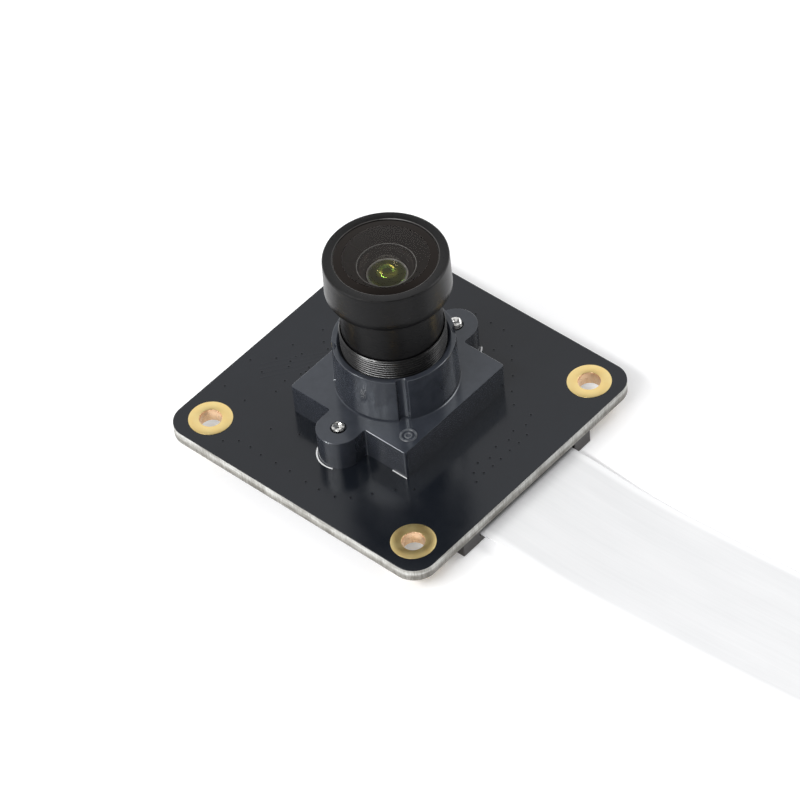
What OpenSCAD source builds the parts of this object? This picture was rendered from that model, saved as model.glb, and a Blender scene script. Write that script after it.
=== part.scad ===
// Small board camera: square circuit board, screwed-on lens holder, screw-in
// wide lens, and a flat ribbon cable in a latched connector under one edge.
// Origin: centre of the four mounting holes, on the board's underside.
// +Z runs along the lens axis towards the front glass, +X towards the ribbon.

/* [Board] */
// Side of the square circuit board
board_w = 38; // [37:0.5:42]
// Thickness of the circuit board
board_t = 1.6; // [1.2:0.1:2]
// Radius of the board's rounded corners
board_corner_r = 2.8; // [1:0.1:3.5]
// Distance between neighbouring mounting holes
hole_pitch = 30.3; // [29:0.1:31.5]
// Finished diameter of a mounting hole
hole_d = 2.6; // [2:0.1:3]
// Outer diameter of the gold ring round a mounting hole
ring_d = 5.1; // [4.2:0.1:6]
// Wall of the plating that lines a mounting hole
plating_t = 0.1; // [0.05:0.01:0.2]
// Height of the gold ring above the board's face
ring_h = 0.05; // [0.03:0.01:0.1]

/* [Lens holder] */
// Side of the holder's square block
block_w = 17; // [16.5:0.1:18]
// Height of the holder's square block
block_h = 4; // [3.6:0.1:5]
// Radius of the block's upright edges
block_corner_r = 0.6; // [0.3:0.1:1]
// Wall of the block round the sensor chamber
block_wall = 1.3; // [1:0.1:1.6]
// Height of the sensor chamber inside the block
chamber_h = 2.6; // [2.2:0.1:2.8]
// Thickness of the shelf between the chamber and the thread
shelf_t = 1; // [0.8:0.1:1.2]
// Side of the square window in the shelf
window_w = 6.4; // [6:0.1:6.8]
// How far an ear's centre lies outside the block's side
ear_reach = 1.5; // [1.2:0.1:2.5]
// Radius of an ear
ear_r = 2.55; // [2:0.05:3]
// Height of the threaded collar above the block
collar_h = 6.1; // [5:0.1:7]
// Wall of the collar at its rim
collar_wall = 0.9; // [0.85:0.05:1.2]
// How much wider in radius the collar is at its foot
collar_draft = 0.08; // [0:0.01:0.15]
// Radius of the four upright flutes in the collar
flute_r = 0.7; // [0.5:0.05:0.9]
// Depth of a flute
flute_depth = 0.5; // [0.3:0.05:0.6]
// Direction of the first flute, from +X
flute_angle = -42; // [-60:1:-30]
// Outer diameter of the moulded ring mark on the block
mark_d = 1.9; // [1.4:0.1:2.2]

/* [Holder screws] */
// Thread diameter of a holder screw
screw_d = 1.6; // [1.4:0.1:2]
// Diameter of a screw's head
screw_head_d = 3; // [2.6:0.1:3.4]
// Height of a screw's head
screw_head_h = 1; // [0.8:0.1:1.3]
// How far a screw's tip stands above its ear
screw_tip = 0.3; // [0.1:0.1:0.8]
// Clearance round a screw in the board, in diameter
screw_clearance = 0.2; // [0.1:0.05:0.4]
// How much a screw's thread bites into the plastic, in diameter
screw_bite = 0.1; // [0.05:0.05:0.15]

/* [Lens barrel] */
// Diameter of the lens thread
thread_d = 12; // [11.8:0.1:12.2]
// Travel of the lens in one turn
thread_pitch = 0.35; // [0.3:0.05:0.5]
// Radial clearance between the lens thread and the holder
thread_gap = 0.05; // [0.03:0.01:0.08]
// Length of the lens thread
thread_h = 7.35; // [7:0.05:7.6]
// Length of thread that shows above the collar at rest
thread_out = 2.25; // [2.1:0.05:2.6]
// Radial step from the thread down to the plain neck
neck_step = 0.3; // [0.1:0.05:0.5]
// Length of the plain neck
neck_h = 5.95; // [5.6:0.05:6.6]
// Diameter of the hood at its lower edge
hood_d = 14.2; // [14:0.1:15]
// Diameter of the hood at its rim
hood_rim_d = 14; // [13.8:0.1:14.2]
// Height of the hood
hood_h = 4.5; // [4.2:0.1:5.5]
// Width of the rim's flat face round the glass
rim_w = 1.15; // [1:0.05:1.3]
// Thickness of the rolled lip over the glass
lip_t = 0.5; // [0.4:0.05:0.6]
// How far the lip reaches over the glass
lip_reach = 0.45; // [0.3:0.05:0.5]
// Radius of the bore that holds the lens stack
stack_r = 4.2; // [4:0.05:4.6]
// Radius of the throat between the front glass and the stack
throat_r = 3.3; // [3.1:0.05:3.4]
// Length of the throat
throat_h = 1.4; // [1.2:0.1:1.6]

/* [Glass] */
// Thickness of the front element at its edge
front_edge_t = 1.5; // [1.4:0.01:1.6]
// Room between the front element's edge and the lip
lip_gap = 0.2; // [0.15:0.01:0.3]
// Radius of curvature of the front surface
front_curve = 34.5; // [30:0.5:45]
// Radius of curvature of the front element's hollow
hollow_curve = 4.6; // [4.4:0.1:5]
// Radius of the hollow's mouth
hollow_r = 3.2; // [3:0.05:3.3]
// Radial clearance of a glass in its bore
glass_gap = 0.05; // [0.03:0.01:0.1]
// Edge thickness of the second element
second_t = 1.4; // [1.3:0.1:1.6]
// Length of the ring behind the second element
front_spacer_t = 2; // [1.8:0.1:2.3]
// Edge thickness of the third element
third_t = 1.8; // [1.6:0.1:2]
// Radius of curvature of the second element's front surface
second_curve = 10.5; // [9:0.1:12]
// Radius of curvature of the second element's hollow
second_hollow = 2.8; // [2.6:0.1:3.2]
// Radius of curvature of the third element's front surface
third_curve = 5.4; // [5:0.1:6.5]
// Radius of curvature of the third element's hollow
third_hollow = 9; // [8:0.1:11]
// Radius of curvature of the face where the fourth and fifth elements meet
cement_curve = 6; // [5.5:0.1:7]
// Radius of curvature of the rear element's front surface
rear_curve = 7; // [6.5:0.1:8]
// Radius of curvature of the rear element's back surface
rear_back_curve = 9; // [8:0.1:11]
// Thickness of the aperture stop
stop_t = 0.2; // [0.1:0.05:0.3]
// Radius of the hole in the aperture stop
stop_r = 0.9; // [0.6:0.1:1.4]
// Edge thickness of the fourth element
fourth_t = 1.6; // [1.4:0.1:1.8]
// Edge thickness of the fifth element
fifth_t = 1.2; // [1.1:0.1:1.4]
// Length of the ring behind the cemented pair
rear_spacer_t = 1.4; // [1.2:0.1:1.6]
// Edge thickness of the rear element
rear_t = 1.8; // [1.6:0.1:2]
// Length of the retaining ring
retainer_t = 1.8; // [1.6:0.1:2]
// Width of the spanner slots in the retaining ring
spanner_slot = 1; // [0.8:0.1:1.2]
// Wall of the spacers and of the retaining ring
spacer_wall = 1.2; // [1:0.1:1.4]

/* [Sensor] */
// Length of the sensor package along X
package_x = 10.4; // [9.6:0.1:11]
// Length of the sensor package along Y
package_y = 9.4; // [8.8:0.1:10]
// Height of the sensor package without its glass
package_h = 0.8; // [0.7:0.05:1]
// Rim of the package round its open well
package_rim = 1.2; // [1:0.1:1.4]
// Depth of the package's well
well_h = 0.5; // [0.4:0.05:0.6]
// Length of the sensor chip along X
die_x = 6.6; // [6:0.1:7]
// Length of the sensor chip along Y
die_y = 5.2; // [4.8:0.1:5.8]
// Thickness of the sensor chip
die_t = 0.3; // [0.2:0.05:0.35]
// Thickness of the sensor's cover glass
cover_t = 0.4; // [0.3:0.05:0.5]
// Side of the square filter plate
filter_w = 8; // [7.6:0.1:8.2]
// Thickness of the filter plate
filter_t = 0.55; // [0.4:0.05:0.6]
// Depth of the filter's seat in the shelf
filter_seat = 0.35; // [0.2:0.05:0.4]

/* [Ribbon connector] */
// Number of ways in the ribbon
ways = 15; // [13:1:17]
// Distance from one way to the next
pitch = 1; // [0.9:0.05:1.1]
// Overall height of the connector
conn_h = 2.5; // [2.4:0.1:2.8]
// Depth of the housing, front to back
conn_depth = 4.4; // [4.2:0.1:5]
// Width of the housing beside the ribbon
conn_cheek = 2.3; // [2.1:0.1:2.6]
// How far the connector's front lies inside the board's edge
conn_inset = 0.4; // [0.3:0.1:1]
// Depth of the latch's front bar
latch_bar = 1.15; // [1:0.05:1.3]
// How far a latch wing stands out beside the housing
wing_out = 0.65; // [0.4:0.05:1]
// Travel of the latch when it opens
latch_travel = 1.2; // [1:0.1:1.4]
// Running clearance of the latch
latch_gap = 0.05; // [0.03:0.01:0.08]
// Thickness of the rear wall behind the ribbon's end
conn_back = 1.2; // [1:0.1:1.4]
// Width of one contact
contact_w = 0.3; // [0.25:0.01:0.35]

/* [Ribbon] */
// Thickness of the ribbon
ribbon_t = 0.2; // [0.15:0.01:0.25]
// Depth of the ribbon's upper face under the board
ribbon_drop = 1; // [0.95:0.01:1.1]
// Thickness of a stiffener
stiffener_t = 0.12; // [0.1:0.01:0.15]
// Length of a stiffener
stiffener_l = 6; // [5:0.5:8]
// Length of a bare ribbon contact
bare_l = 4; // [3:0.5:5]
// Thickness of a bare ribbon contact
bare_t = 0.05; // [0.03:0.01:0.08]
// Width of a bare ribbon contact
bare_w = 0.7; // [0.5:0.05:0.8]

/* [Parts under the board] */
// Length of a regulator's body
regulator_l = 2.9; // [2.8:0.1:3]
// Width of a regulator's body
regulator_w = 1.6; // [1.5:0.1:1.8]
// Height of a regulator above the board's face
regulator_h = 1.1; // [0.9:0.05:1.3]
// Distance between neighbouring regulators
regulator_pitch = 6; // [5.6:0.1:6.2]
// How far the regulators' centres lie from the board's edge
regulator_inset = 4.5; // [4:0.1:4.8]
// Length of the memory chip's body
memory_l = 3; // [2.9:0.1:3.1]
// Width of the memory chip's body
memory_w = 4.4; // [4:0.1:4.6]
// Height of the memory chip above the board's face
memory_h = 1; // [0.9:0.05:1.2]
// Length of the oscillator
oscillator_l = 3.2; // [2.5:0.1:3.6]
// Width of the oscillator
oscillator_w = 2.5; // [2:0.1:2.8]
// Height of the oscillator's ceramic base
oscillator_h = 0.6; // [0.4:0.05:0.8]
// Height of the oscillator's metal lid
oscillator_lid = 0.3; // [0.2:0.05:0.4]
// How far the memory chip's and the oscillator's centres lie from the board's edge
chip_inset = 6; // [5.6:0.1:6.2]
// Length of a small chip part
small_l = 1; // [0.9:0.05:1.1]
// Width of a small chip part
small_w = 0.5; // [0.4:0.05:0.6]
// Height of a small chip part
small_h = 0.5; // [0.3:0.05:0.6]
// Distance between neighbouring small chip parts
small_pitch = 2; // [1.8:0.1:2.2]
// Length of a large chip part
large_l = 1.6; // [1.5:0.05:1.8]
// Width of a large chip part
large_w = 0.8; // [0.7:0.05:0.9]
// Height of a large chip part
large_h = 0.8; // [0.6:0.05:0.9]
// Thickness of a lead
lead_t = 0.15; // [0.1:0.01:0.2]
// Room between a ferrite bead and the nearest gold ring, along Y
bead_gap = 0.6; // [0.4:0.1:0.8]

/* [Hidden] */
$fn = 64;
fine = 128;
cut = 0.1;

// Levels from the board upwards
top_z = board_t;
chamber_z = top_z + chamber_h;
shelf_z = chamber_z + shelf_t;
block_z = top_z + block_h;
collar_z = block_z + collar_h;
neck_z = collar_z + thread_out;
rear_z = neck_z - thread_h;
hood_z = neck_z + neck_h;
rim_z = hood_z + hood_h;

// Radii of the thread, the neck, the hood and the collar
thread_r = thread_d / 2;
thread_bore_r = thread_r + thread_gap;
thread_depth = 0.6 * thread_pitch;
neck_r = thread_r - neck_step;
mouth_r = hood_rim_d / 2 - rim_w;
pocket_r = mouth_r + lip_reach;
collar_r = thread_bore_r + collar_wall;
edge_break = 0.15;

// Places of the ears and their holes
ear_y = block_w / 2 + ear_reach;
screw_r = screw_d / 2;
screw_bore_r = screw_r - screw_bite / 2;
mark_at = [block_w / 2 - 1.5, -block_w / 2 + 2.3];

// Levels of the glass, from the front backwards
lip_z = rim_z - lip_t;
seat_z = lip_z - lip_gap - front_edge_t;
shoulder_z = seat_z - throat_h;
second_z = shoulder_z - second_t;
front_spacer_z = second_z - front_spacer_t;
third_z = front_spacer_z - third_t;
stop_z = third_z - stop_t;
fourth_z = stop_z - fourth_t;
fifth_z = fourth_z - fifth_t;
rear_spacer_z = fifth_z - rear_spacer_t;
rear_glass_z = rear_spacer_z - rear_t;
retainer_z = rear_glass_z - retainer_t;
front_r = pocket_r - glass_gap;
glass_r = stack_r - glass_gap;
eye_r = glass_r - spacer_wall;

// Ribbon connector, seen from the board's underside: front is +X, down is -Z
ribbon_w = (ways + 1) * pitch;
conn_front = board_w / 2 - conn_inset;
housing_front = conn_front - latch_bar - latch_gap;
housing_back = housing_front - conn_depth;
housing_w = ribbon_w + 2 * conn_cheek;
slot_w = ribbon_w + 0.2;
slot_back = housing_back + conn_back;
slot_top = -ribbon_drop + bare_t + 0.04;
ribbon_under = -ribbon_drop - ribbon_t;
tongue_top = ribbon_under - stiffener_t - latch_gap;
tongue_t = 0.38;
slot_floor = tongue_top - tongue_t - latch_gap;
wing_w = housing_w + 2 * wing_out;
arm_t = 0.9;
arm_z = [-1.9, -0.7];

// Levels of the ribbon's centre line: in the connector, and lying beside the board
exit_z = -ribbon_drop - ribbon_t / 2;
rest_z = -conn_h + ribbon_t / 2 + 0.01;

// How the ribbon lies: [x from the latch's front, y, share of its fall, share of a stiffener]
LAY = [
    [-4.1, 0, 0, 0], [-1.1, 0, 0, 0], [1.4, 0, 0, 0], [3.4, 0.02, 0.05, 0],
    [5.4, 0.08, 0.19, 0], [7.4, 0.17, 0.39, 0], [9.4, 0.28, 0.59, 0], [11.4, 0.42, 0.76, 0],
    [13.4, 0.56, 0.88, 0], [15.4, 0.7, 0.95, 0], [18.4, 0.9, 0.99, 0], [23.4, 1.2, 1, 0],
    [29.4, 1.6, 1, 0], [36.4, 2.15, 1, 0], [44.4, 2.85, 1, 0], [56.4, 3.95, 1, 0],
    [71.4, 5.4, 1, 0], [86.4, 6.85, 1, 0], [101.4, 8.3, 1, 0], [116.4, 9.75, 1, 0.1],
    [131.4, 11.2, 1, 0.5], [139.4, 11.97, 1, 1], [145.4, 12.55, 1, 1]
];

// The ribbon's route: points on its centre line, [x, y, z]
ROUTE = [for (p = LAY)
    [conn_front + p[0], p[1], exit_z + p[2] * (rest_z - exit_z) + p[3] * stiffener_t]];

// Helpers

// A box given by its lowest and highest corners
module span(low, high) {
    translate(low) cube(high - low);
}

// A flat plate with round corners, standing on z
module round_plate(size_x, size_y, z, h, r) {
    translate([-size_x / 2 + r, -size_y / 2, z]) cube([size_x - 2 * r, size_y, h]);
    translate([-size_x / 2, -size_y / 2 + r, z]) cube([size_x, size_y - 2 * r, h]);
    for (x = [-1, 1], y = [-1, 1]) {
        translate([x * (size_x / 2 - r), y * (size_y / 2 - r), z]) cylinder(r = r, h = h);
    }
}

// Puts its children at the four mounting holes
module at_holes() {
    for (x = [-1, 1], y = [-1, 1]) {
        translate([x * hole_pitch / 2, y * hole_pitch / 2, 0]) children();
    }
}

// Puts its children at the two ears
module at_ears() {
    for (y = [-1, 1]) translate([0, y * ear_y, 0]) children();
}

// Height of a spherical cap of curvature c over the radius r
function sag(c, r) = c - sqrt(c * c - r * r);

// A cap that bulges up from z, or down, and reaches a little into its element
module dome(z, r, c, up = true) {
    intersection() {
        translate([0, 0, up ? z + sag(c, r) - c : z - sag(c, r) + c]) sphere(r = c, $fn = fine);
        translate([0, 0, up ? z - cut : z - 2 * sag(c, r)]) cylinder(r = r, h = 2 * sag(c, r) + cut);
    }
}

// A ball that cuts a hollow of mouth radius r into a face at z
module hollow(z, r, c, up = true) {
    translate([0, 0, up ? z + sag(c, r) - c : z - sag(c, r) + c]) sphere(r = c, $fn = fine);
}

// A ring on the lens axis
module ring(z, h, outer, inner) {
    translate([0, 0, z]) difference() {
        cylinder(r = outer, h = h);
        translate([0, 0, -cut]) cylinder(r = inner, h = h + 2 * cut);
    }
}

// Board

module pcb() {
    color([0.12, 0.12, 0.13]) difference() {
        round_plate(board_w, board_w, 0, board_t, board_corner_r);
        at_holes() translate([0, 0, -cut])
            cylinder(d = hole_d + 2 * plating_t, h = board_t + 2 * cut);
        at_ears() translate([0, 0, -cut])
            cylinder(d = screw_d + screw_clearance, h = board_t + 2 * cut);
    }
}

module hole_platings() {
    color([0.95, 0.76, 0.42]) at_holes() difference() {
        union() {
            translate([0, 0, -ring_h]) cylinder(d = ring_d, h = ring_h);
            translate([0, 0, board_t]) cylinder(d = ring_d, h = ring_h);
            cylinder(d = hole_d + 2 * plating_t, h = board_t);
        }
        translate([0, 0, -cut]) cylinder(d = hole_d, h = board_t + 2 * cut);
    }
}

// Lens holder

// The ear's outline reaches back into the block
module ear() {
    translate([0, 0, top_z]) cylinder(r = ear_r, h = block_h);
}

module holder_body() {
    round_plate(block_w, block_w, top_z, block_h, block_corner_r);
    at_ears() ear();
    span([-ear_r, -ear_y, top_z], [ear_r, ear_y, block_z]);
    translate([0, 0, block_z])
        cylinder(r1 = collar_r + collar_draft, r2 = collar_r, h = collar_h, $fn = fine);
    translate([mark_at[0], mark_at[1], block_z]) difference() {
        cylinder(d = mark_d, h = 0.06);
        cylinder(d = mark_d - 0.4, h = 0.2);
    }
}

module flutes() {
    for (k = [0:3]) rotate(flute_angle + 90 * k)
        translate([collar_r + flute_r - flute_depth, 0, block_z])
            cylinder(r = flute_r, h = collar_h + cut, $fn = 32);
}

module lens_holder() {
    chamber_w = block_w - 2 * block_wall;
    seat_w = filter_w + 0.1;
    color([0.17, 0.18, 0.2]) difference() {
        holder_body();
        translate([0, 0, shelf_z]) cylinder(r = thread_bore_r, h = block_h + collar_h, $fn = fine);
        translate([0, 0, collar_z - thread_pitch])
            cylinder(r1 = thread_bore_r, r2 = thread_bore_r + thread_depth,
                h = thread_pitch + 0.01, $fn = fine);
        round_plate(chamber_w, chamber_w, top_z - cut, chamber_h + cut, 0.8);
        span([-window_w / 2, -window_w / 2, top_z], [window_w / 2, window_w / 2, shelf_z + cut]);
        span([-seat_w / 2, -seat_w / 2, shelf_z - filter_seat], [seat_w / 2, seat_w / 2, shelf_z + cut]);
        at_ears() translate([0, 0, top_z - cut]) cylinder(r = screw_bore_r, h = block_h + 2 * cut);
        at_ears() translate([0, 0, block_z - 0.4]) cylinder(r = screw_r + 0.12, h = 0.5);
        flutes();
    }
}

// A pan head with a cross recess below the board, and a blunt tip
module holder_screw() {
    tip_z = block_z + screw_tip;
    difference() {
        union() {
            translate([0, 0, -0.45 * screw_head_h]) cylinder(d = screw_head_d, h = 0.45 * screw_head_h);
            translate([0, 0, -screw_head_h])
                cylinder(d1 = 0.72 * screw_head_d, d2 = screw_head_d, h = 0.55 * screw_head_h);
            cylinder(r = screw_r, h = tip_z - 0.3);
            translate([0, 0, tip_z - 0.3]) cylinder(r1 = screw_r, r2 = 0.75 * screw_r, h = 0.3);
        }
        for (a = [0, 90]) rotate(a)
            translate([-0.8, -0.15, -screw_head_h - cut]) cube([1.6, 0.3, 0.6 + cut]);
    }
}

module holder_screws() {
    color([0.82, 0.82, 0.8]) at_ears() holder_screw();
}

// Lens barrel, turned in one piece

module lens_barrel() {
    color([0.07, 0.07, 0.08]) rotate_extrude($fn = fine) polygon([
        [mouth_r + 0.12, rim_z],
        [hood_rim_d / 2 - edge_break, rim_z],
        [hood_rim_d / 2, rim_z - edge_break],
        [hood_d / 2, hood_z + 2 * edge_break],
        [hood_d / 2 - 2 * edge_break, hood_z],
        [neck_r, hood_z],
        [neck_r, neck_z],
        [thread_r - edge_break, neck_z],
        [thread_r, neck_z - edge_break],
        [thread_r, rear_z + 2 * thread_depth],
        [thread_r - 2 * thread_depth, rear_z],
        [stack_r, rear_z],
        [stack_r, shoulder_z],
        [throat_r, shoulder_z],
        [throat_r, seat_z],
        [pocket_r, seat_z],
        [pocket_r, lip_z],
        [mouth_r, lip_z],
        [mouth_r, rim_z - 0.12]
    ]);
}

// Glass and rings, from the front backwards

module front_element() {
    apex_z = seat_z + front_edge_t + sag(front_curve, front_r);
    color([0.2, 0.18, 0.16, 0.6]) difference() {
        intersection() {
            translate([0, 0, seat_z]) cylinder(r = front_r, h = apex_z - seat_z + cut, $fn = fine);
            translate([0, 0, apex_z - front_curve]) sphere(r = front_curve, $fn = 256);
        }
        hollow(seat_z, hollow_r, hollow_curve);
    }
}

module second_element() {
    color([0.5, 0.6, 0.3, 0.6]) difference() {
        union() {
            translate([0, 0, second_z]) cylinder(r = glass_r, h = second_t);
            dome(shoulder_z, throat_r - 0.2, second_curve);
        }
        hollow(second_z, 2.3, second_hollow);
    }
}

module front_spacer() {
    color([0.08, 0.08, 0.08]) ring(front_spacer_z, front_spacer_t, glass_r, eye_r);
}

module third_element() {
    color([0.5, 0.6, 0.4, 0.6]) difference() {
        union() {
            translate([0, 0, third_z]) cylinder(r = glass_r, h = third_t);
            dome(front_spacer_z, eye_r - 0.1, third_curve);
        }
        hollow(third_z, 2, third_hollow);
    }
}

module aperture_stop() {
    color([0.05, 0.05, 0.05]) ring(stop_z, stop_t, glass_r, stop_r);
}

module fourth_element() {
    color([0.5, 0.6, 0.5, 0.6]) union() {
        translate([0, 0, fourth_z]) cylinder(r = glass_r, h = fourth_t);
        dome(fourth_z, eye_r - 0.2, cement_curve, false);
    }
}

module fifth_element() {
    color([0.6, 0.6, 0.5, 0.6]) difference() {
        translate([0, 0, fifth_z]) cylinder(r = glass_r, h = fifth_t);
        hollow(fourth_z, eye_r - 0.2, cement_curve, false);
    }
}

module rear_spacer() {
    color([0.08, 0.08, 0.08]) ring(rear_spacer_z, rear_spacer_t, glass_r, eye_r);
}

module rear_element() {
    color([0.5, 0.55, 0.6, 0.6]) union() {
        translate([0, 0, rear_glass_z]) cylinder(r = glass_r, h = rear_t);
        dome(rear_spacer_z, eye_r - 0.1, rear_curve);
        dome(rear_glass_z, eye_r - 0.1, rear_back_curve, false);
    }
}

module retaining_ring() {
    color([0.1, 0.1, 0.1]) difference() {
        ring(retainer_z, retainer_t, glass_r, eye_r);
        span([-stack_r, -spanner_slot / 2, retainer_z - cut], [stack_r, spanner_slot / 2, retainer_z + 0.6]);
    }
}

// Filter and sensor

module ir_filter() {
    color([0.55, 0.75, 0.8, 0.5])
        translate([-filter_w / 2, -filter_w / 2, shelf_z - filter_seat]) cube([filter_w, filter_w, filter_t]);
}

module sensor_package() {
    well_z = top_z + package_h - well_h;
    color([0.25, 0.25, 0.27]) difference() {
        translate([-package_x / 2, -package_y / 2, top_z]) cube([package_x, package_y, package_h]);
        span([-package_x / 2 + package_rim, -package_y / 2 + package_rim, well_z],
             [package_x / 2 - package_rim, package_y / 2 - package_rim, top_z + package_h + cut]);
    }
}

module sensor_die() {
    well_z = top_z + package_h - well_h;
    color([0.3, 0.35, 0.45])
        translate([-die_x / 2, -die_y / 2, well_z]) cube([die_x, die_y, die_t]);
}

module sensor_glass() {
    side = package_rim / 2;
    color([0.8, 0.9, 0.9, 0.4])
        translate([-package_x / 2 + side, -package_y / 2 + side, top_z + package_h])
            cube([package_x - 2 * side, package_y - 2 * side, cover_t]);
}

// Ribbon connector

// Y position of one way
function way_y(k) = (k - (ways - 1) / 2) * pitch;

module connector_housing() {
    color([0.13, 0.13, 0.13]) difference() {
        span([housing_back, -housing_w / 2, -conn_h], [housing_front, housing_w / 2, 0]);
        span([slot_back, -slot_w / 2, slot_floor], [housing_front + cut, slot_w / 2, slot_top]);
        for (k = [0:ways - 1]) translate([0, way_y(k), 0])
            span([housing_back - cut, -contact_w / 2 - 0.05, slot_top - cut],
                 [housing_front - 0.5, contact_w / 2 + 0.05, cut]);
        for (s = [-1, 1]) scale([1, s, 1])
            span([housing_back + 1.3, housing_w / 2 - arm_t - latch_gap, arm_z[0] - latch_gap],
                 [housing_front + cut, housing_w / 2 + cut, arm_z[1] + latch_gap]);
    }
}

module connector_latch() {
    tongue_back = slot_back + 0.5;
    arm_back = housing_back + 1.4;
    bar_back = housing_front + latch_gap;
    color([0.16, 0.15, 0.15]) union() {
        span([bar_back, -wing_w / 2, -conn_h + 0.1], [conn_front, wing_w / 2, tongue_top]);
        span([tongue_back, -slot_w / 2 + latch_gap, tongue_top - tongue_t],
             [bar_back + cut, slot_w / 2 - latch_gap, tongue_top]);
        for (s = [-1, 1]) scale([1, s, 1]) {
            span([bar_back, slot_w / 2 + 0.1, -conn_h + 0.1], [conn_front, wing_w / 2, -0.15]);
            span([arm_back, housing_w / 2 - arm_t, arm_z[0]], [bar_back + cut, housing_w / 2, arm_z[1]]);
        }
    }
}

// One contact: tail on the board, beam over the ribbon, tip on its bare strip
module contact() {
    tip = -ribbon_drop + bare_t;
    tip_x = slot_back + 1.8;
    translate([0, contact_w / 2, 0]) rotate([90, 0, 0]) linear_extrude(contact_w) polygon([
        [housing_back - 0.8, 0], [housing_back - 0.8, -0.2], [housing_back + 0.3, -0.25],
        [tip_x - 1.2, -0.45], [tip_x - 0.1, tip], [tip_x + 0.1, tip],
        [tip_x + 0.5, tip + 0.3], [tip_x + 0.4, tip + 0.35], [tip_x, tip + 0.2],
        [tip_x - 1, -0.2], [housing_back + 0.3, 0]
    ]);
}

module connector_contacts() {
    color([0.85, 0.75, 0.5]) for (k = [0:ways - 1]) translate([0, way_y(k), 0]) contact();
}

// Flat solder tabs against the housing's ends, their feet on the board
module connector_tabs() {
    color([0.8, 0.8, 0.8]) for (s = [-1, 1]) scale([1, s, 1]) union() {
        span([housing_back, housing_w / 2, -1.2], [housing_back + 1.2, housing_w / 2 + 0.2, 0]);
        span([housing_back, housing_w / 2, -0.2], [housing_back + 1.2, housing_w / 2 + 1.1, 0]);
    }
}

// Ribbon

// Cross-section at a route point, level across its width
function ribbon_ring(k, w, low, high) =
    let (a = ROUTE[max(k - 1, 0)], b = ROUTE[min(k + 1, len(ROUTE) - 1)], p = ROUTE[k])
    let (t = (b - a) / norm(b - a), side = cross([0, 0, 1], t) / norm(cross([0, 0, 1], t)))
    let (up = cross(t, side))
    [for (c = [[-w / 2, low], [w / 2, low], [w / 2, high], [-w / 2, high]]) p + side * c[0] + up * c[1]];

module ribbon_cable() {
    n = len(ROUTE);
    points = [for (k = [0:n - 1]) each ribbon_ring(k, ribbon_w, -ribbon_t / 2, ribbon_t / 2)];
    sides = [for (k = [0:n - 2], j = [0:3])
        [4 * k + j, 4 * k + 4 + j, 4 * k + 4 + (j + 1) % 4, 4 * k + (j + 1) % 4]];
    ends = [[0, 1, 2, 3], [4 * n - 1, 4 * n - 2, 4 * n - 3, 4 * n - 4]];
    color([0.95, 0.95, 0.96]) polyhedron(points = points, faces = concat(sides, ends), convexity = 4);
}

module ribbon_near_stiffener() {
    start = ROUTE[0];
    color([0.9, 0.9, 0.95]) translate([start[0], -ribbon_w / 2, start[2] - ribbon_t / 2 - stiffener_t])
        cube([min(stiffener_l, ROUTE[2][0] - start[0]), ribbon_w, stiffener_t]);
}

module ribbon_near_contacts() {
    start = ROUTE[0];
    color([0.85, 0.85, 0.85]) for (k = [0:ways - 1])
        translate([start[0], way_y(k) - bare_w / 2, start[2] + ribbon_t / 2])
            cube([min(bare_l, ROUTE[1][0] - start[0]), bare_w, bare_t]);
}

// Turns its children to the ribbon's far end: x runs out along the ribbon
module at_far_end() {
    last = ROUTE[len(ROUTE) - 1];
    before = ROUTE[len(ROUTE) - 2];
    translate(last) rotate(atan2(last[1] - before[1], last[0] - before[0])) children();
}

module ribbon_far_stiffener() {
    color([0.25, 0.45, 0.8]) at_far_end()
        translate([-stiffener_l, -ribbon_w / 2, -ribbon_t / 2 - stiffener_t])
            cube([stiffener_l, ribbon_w, stiffener_t]);
}

module ribbon_far_contacts() {
    color([0.85, 0.85, 0.85]) at_far_end() for (k = [0:ways - 1])
        translate([-bare_l, way_y(k) - bare_w / 2, ribbon_t / 2]) cube([bare_l, bare_w, bare_t]);
}

// Parts under the board; each stands on the board's underside and hangs down

// Two rows of leads bent down to the board, n on each side of a body along X
module lead_rows(body, n, step) {
    for (s = [-1, 1], k = [0:n - 1]) scale([1, s, 1])
        translate([(k - (n - 1) / 2) * step, 0, 0]) {
            span([-0.2, body[1] / 2 - 0.1, -0.55], [0.2, body[1] / 2 + 0.3, -0.55 + lead_t]);
            span([-0.2, body[1] / 2 + 0.3 - lead_t, -0.55], [0.2, body[1] / 2 + 0.3, 0]);
            span([-0.2, body[1] / 2 + 0.3 - lead_t, -lead_t], [0.2, body[1] / 2 + 0.7, 0]);
        }
}

// A moulded chip body 0.1 mm clear of the board, with its leads
module leaded_chip(body, n, step) {
    union() {
        span([-body[0] / 2, -body[1] / 2, -body[2]], [body[0] / 2, body[1] / 2, -0.1]);
        lead_rows(body, n, step);
    }
}

// A chip part with two metal ends a little thicker than its middle
module chip_part(size) {
    union() {
        span([-size[0] / 2 + 0.1, -size[1] / 2 + 0.03, -size[2] + 0.03],
             [size[0] / 2 - 0.1, size[1] / 2 - 0.03, 0]);
        for (s = [-1, 1]) scale([s, 1, 1])
            span([size[0] * 0.28, -size[1] / 2, -size[2]], [size[0] / 2, size[1] / 2, 0]);
    }
}

module regulators() {
    color([0.1, 0.1, 0.1]) for (k = [-1:1])
        translate([-board_w / 2 + regulator_inset, k * regulator_pitch, 0]) rotate(90)
            leaded_chip([regulator_l, regulator_w, regulator_h], 3, 0.95);
}

module memory_chip() {
    color([0.1, 0.1, 0.1]) translate([housing_back - chip_inset, board_w / 2 - chip_inset, 0])
        rotate(90) leaded_chip([memory_l, memory_w, memory_h], 4, 0.65);
}

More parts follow.
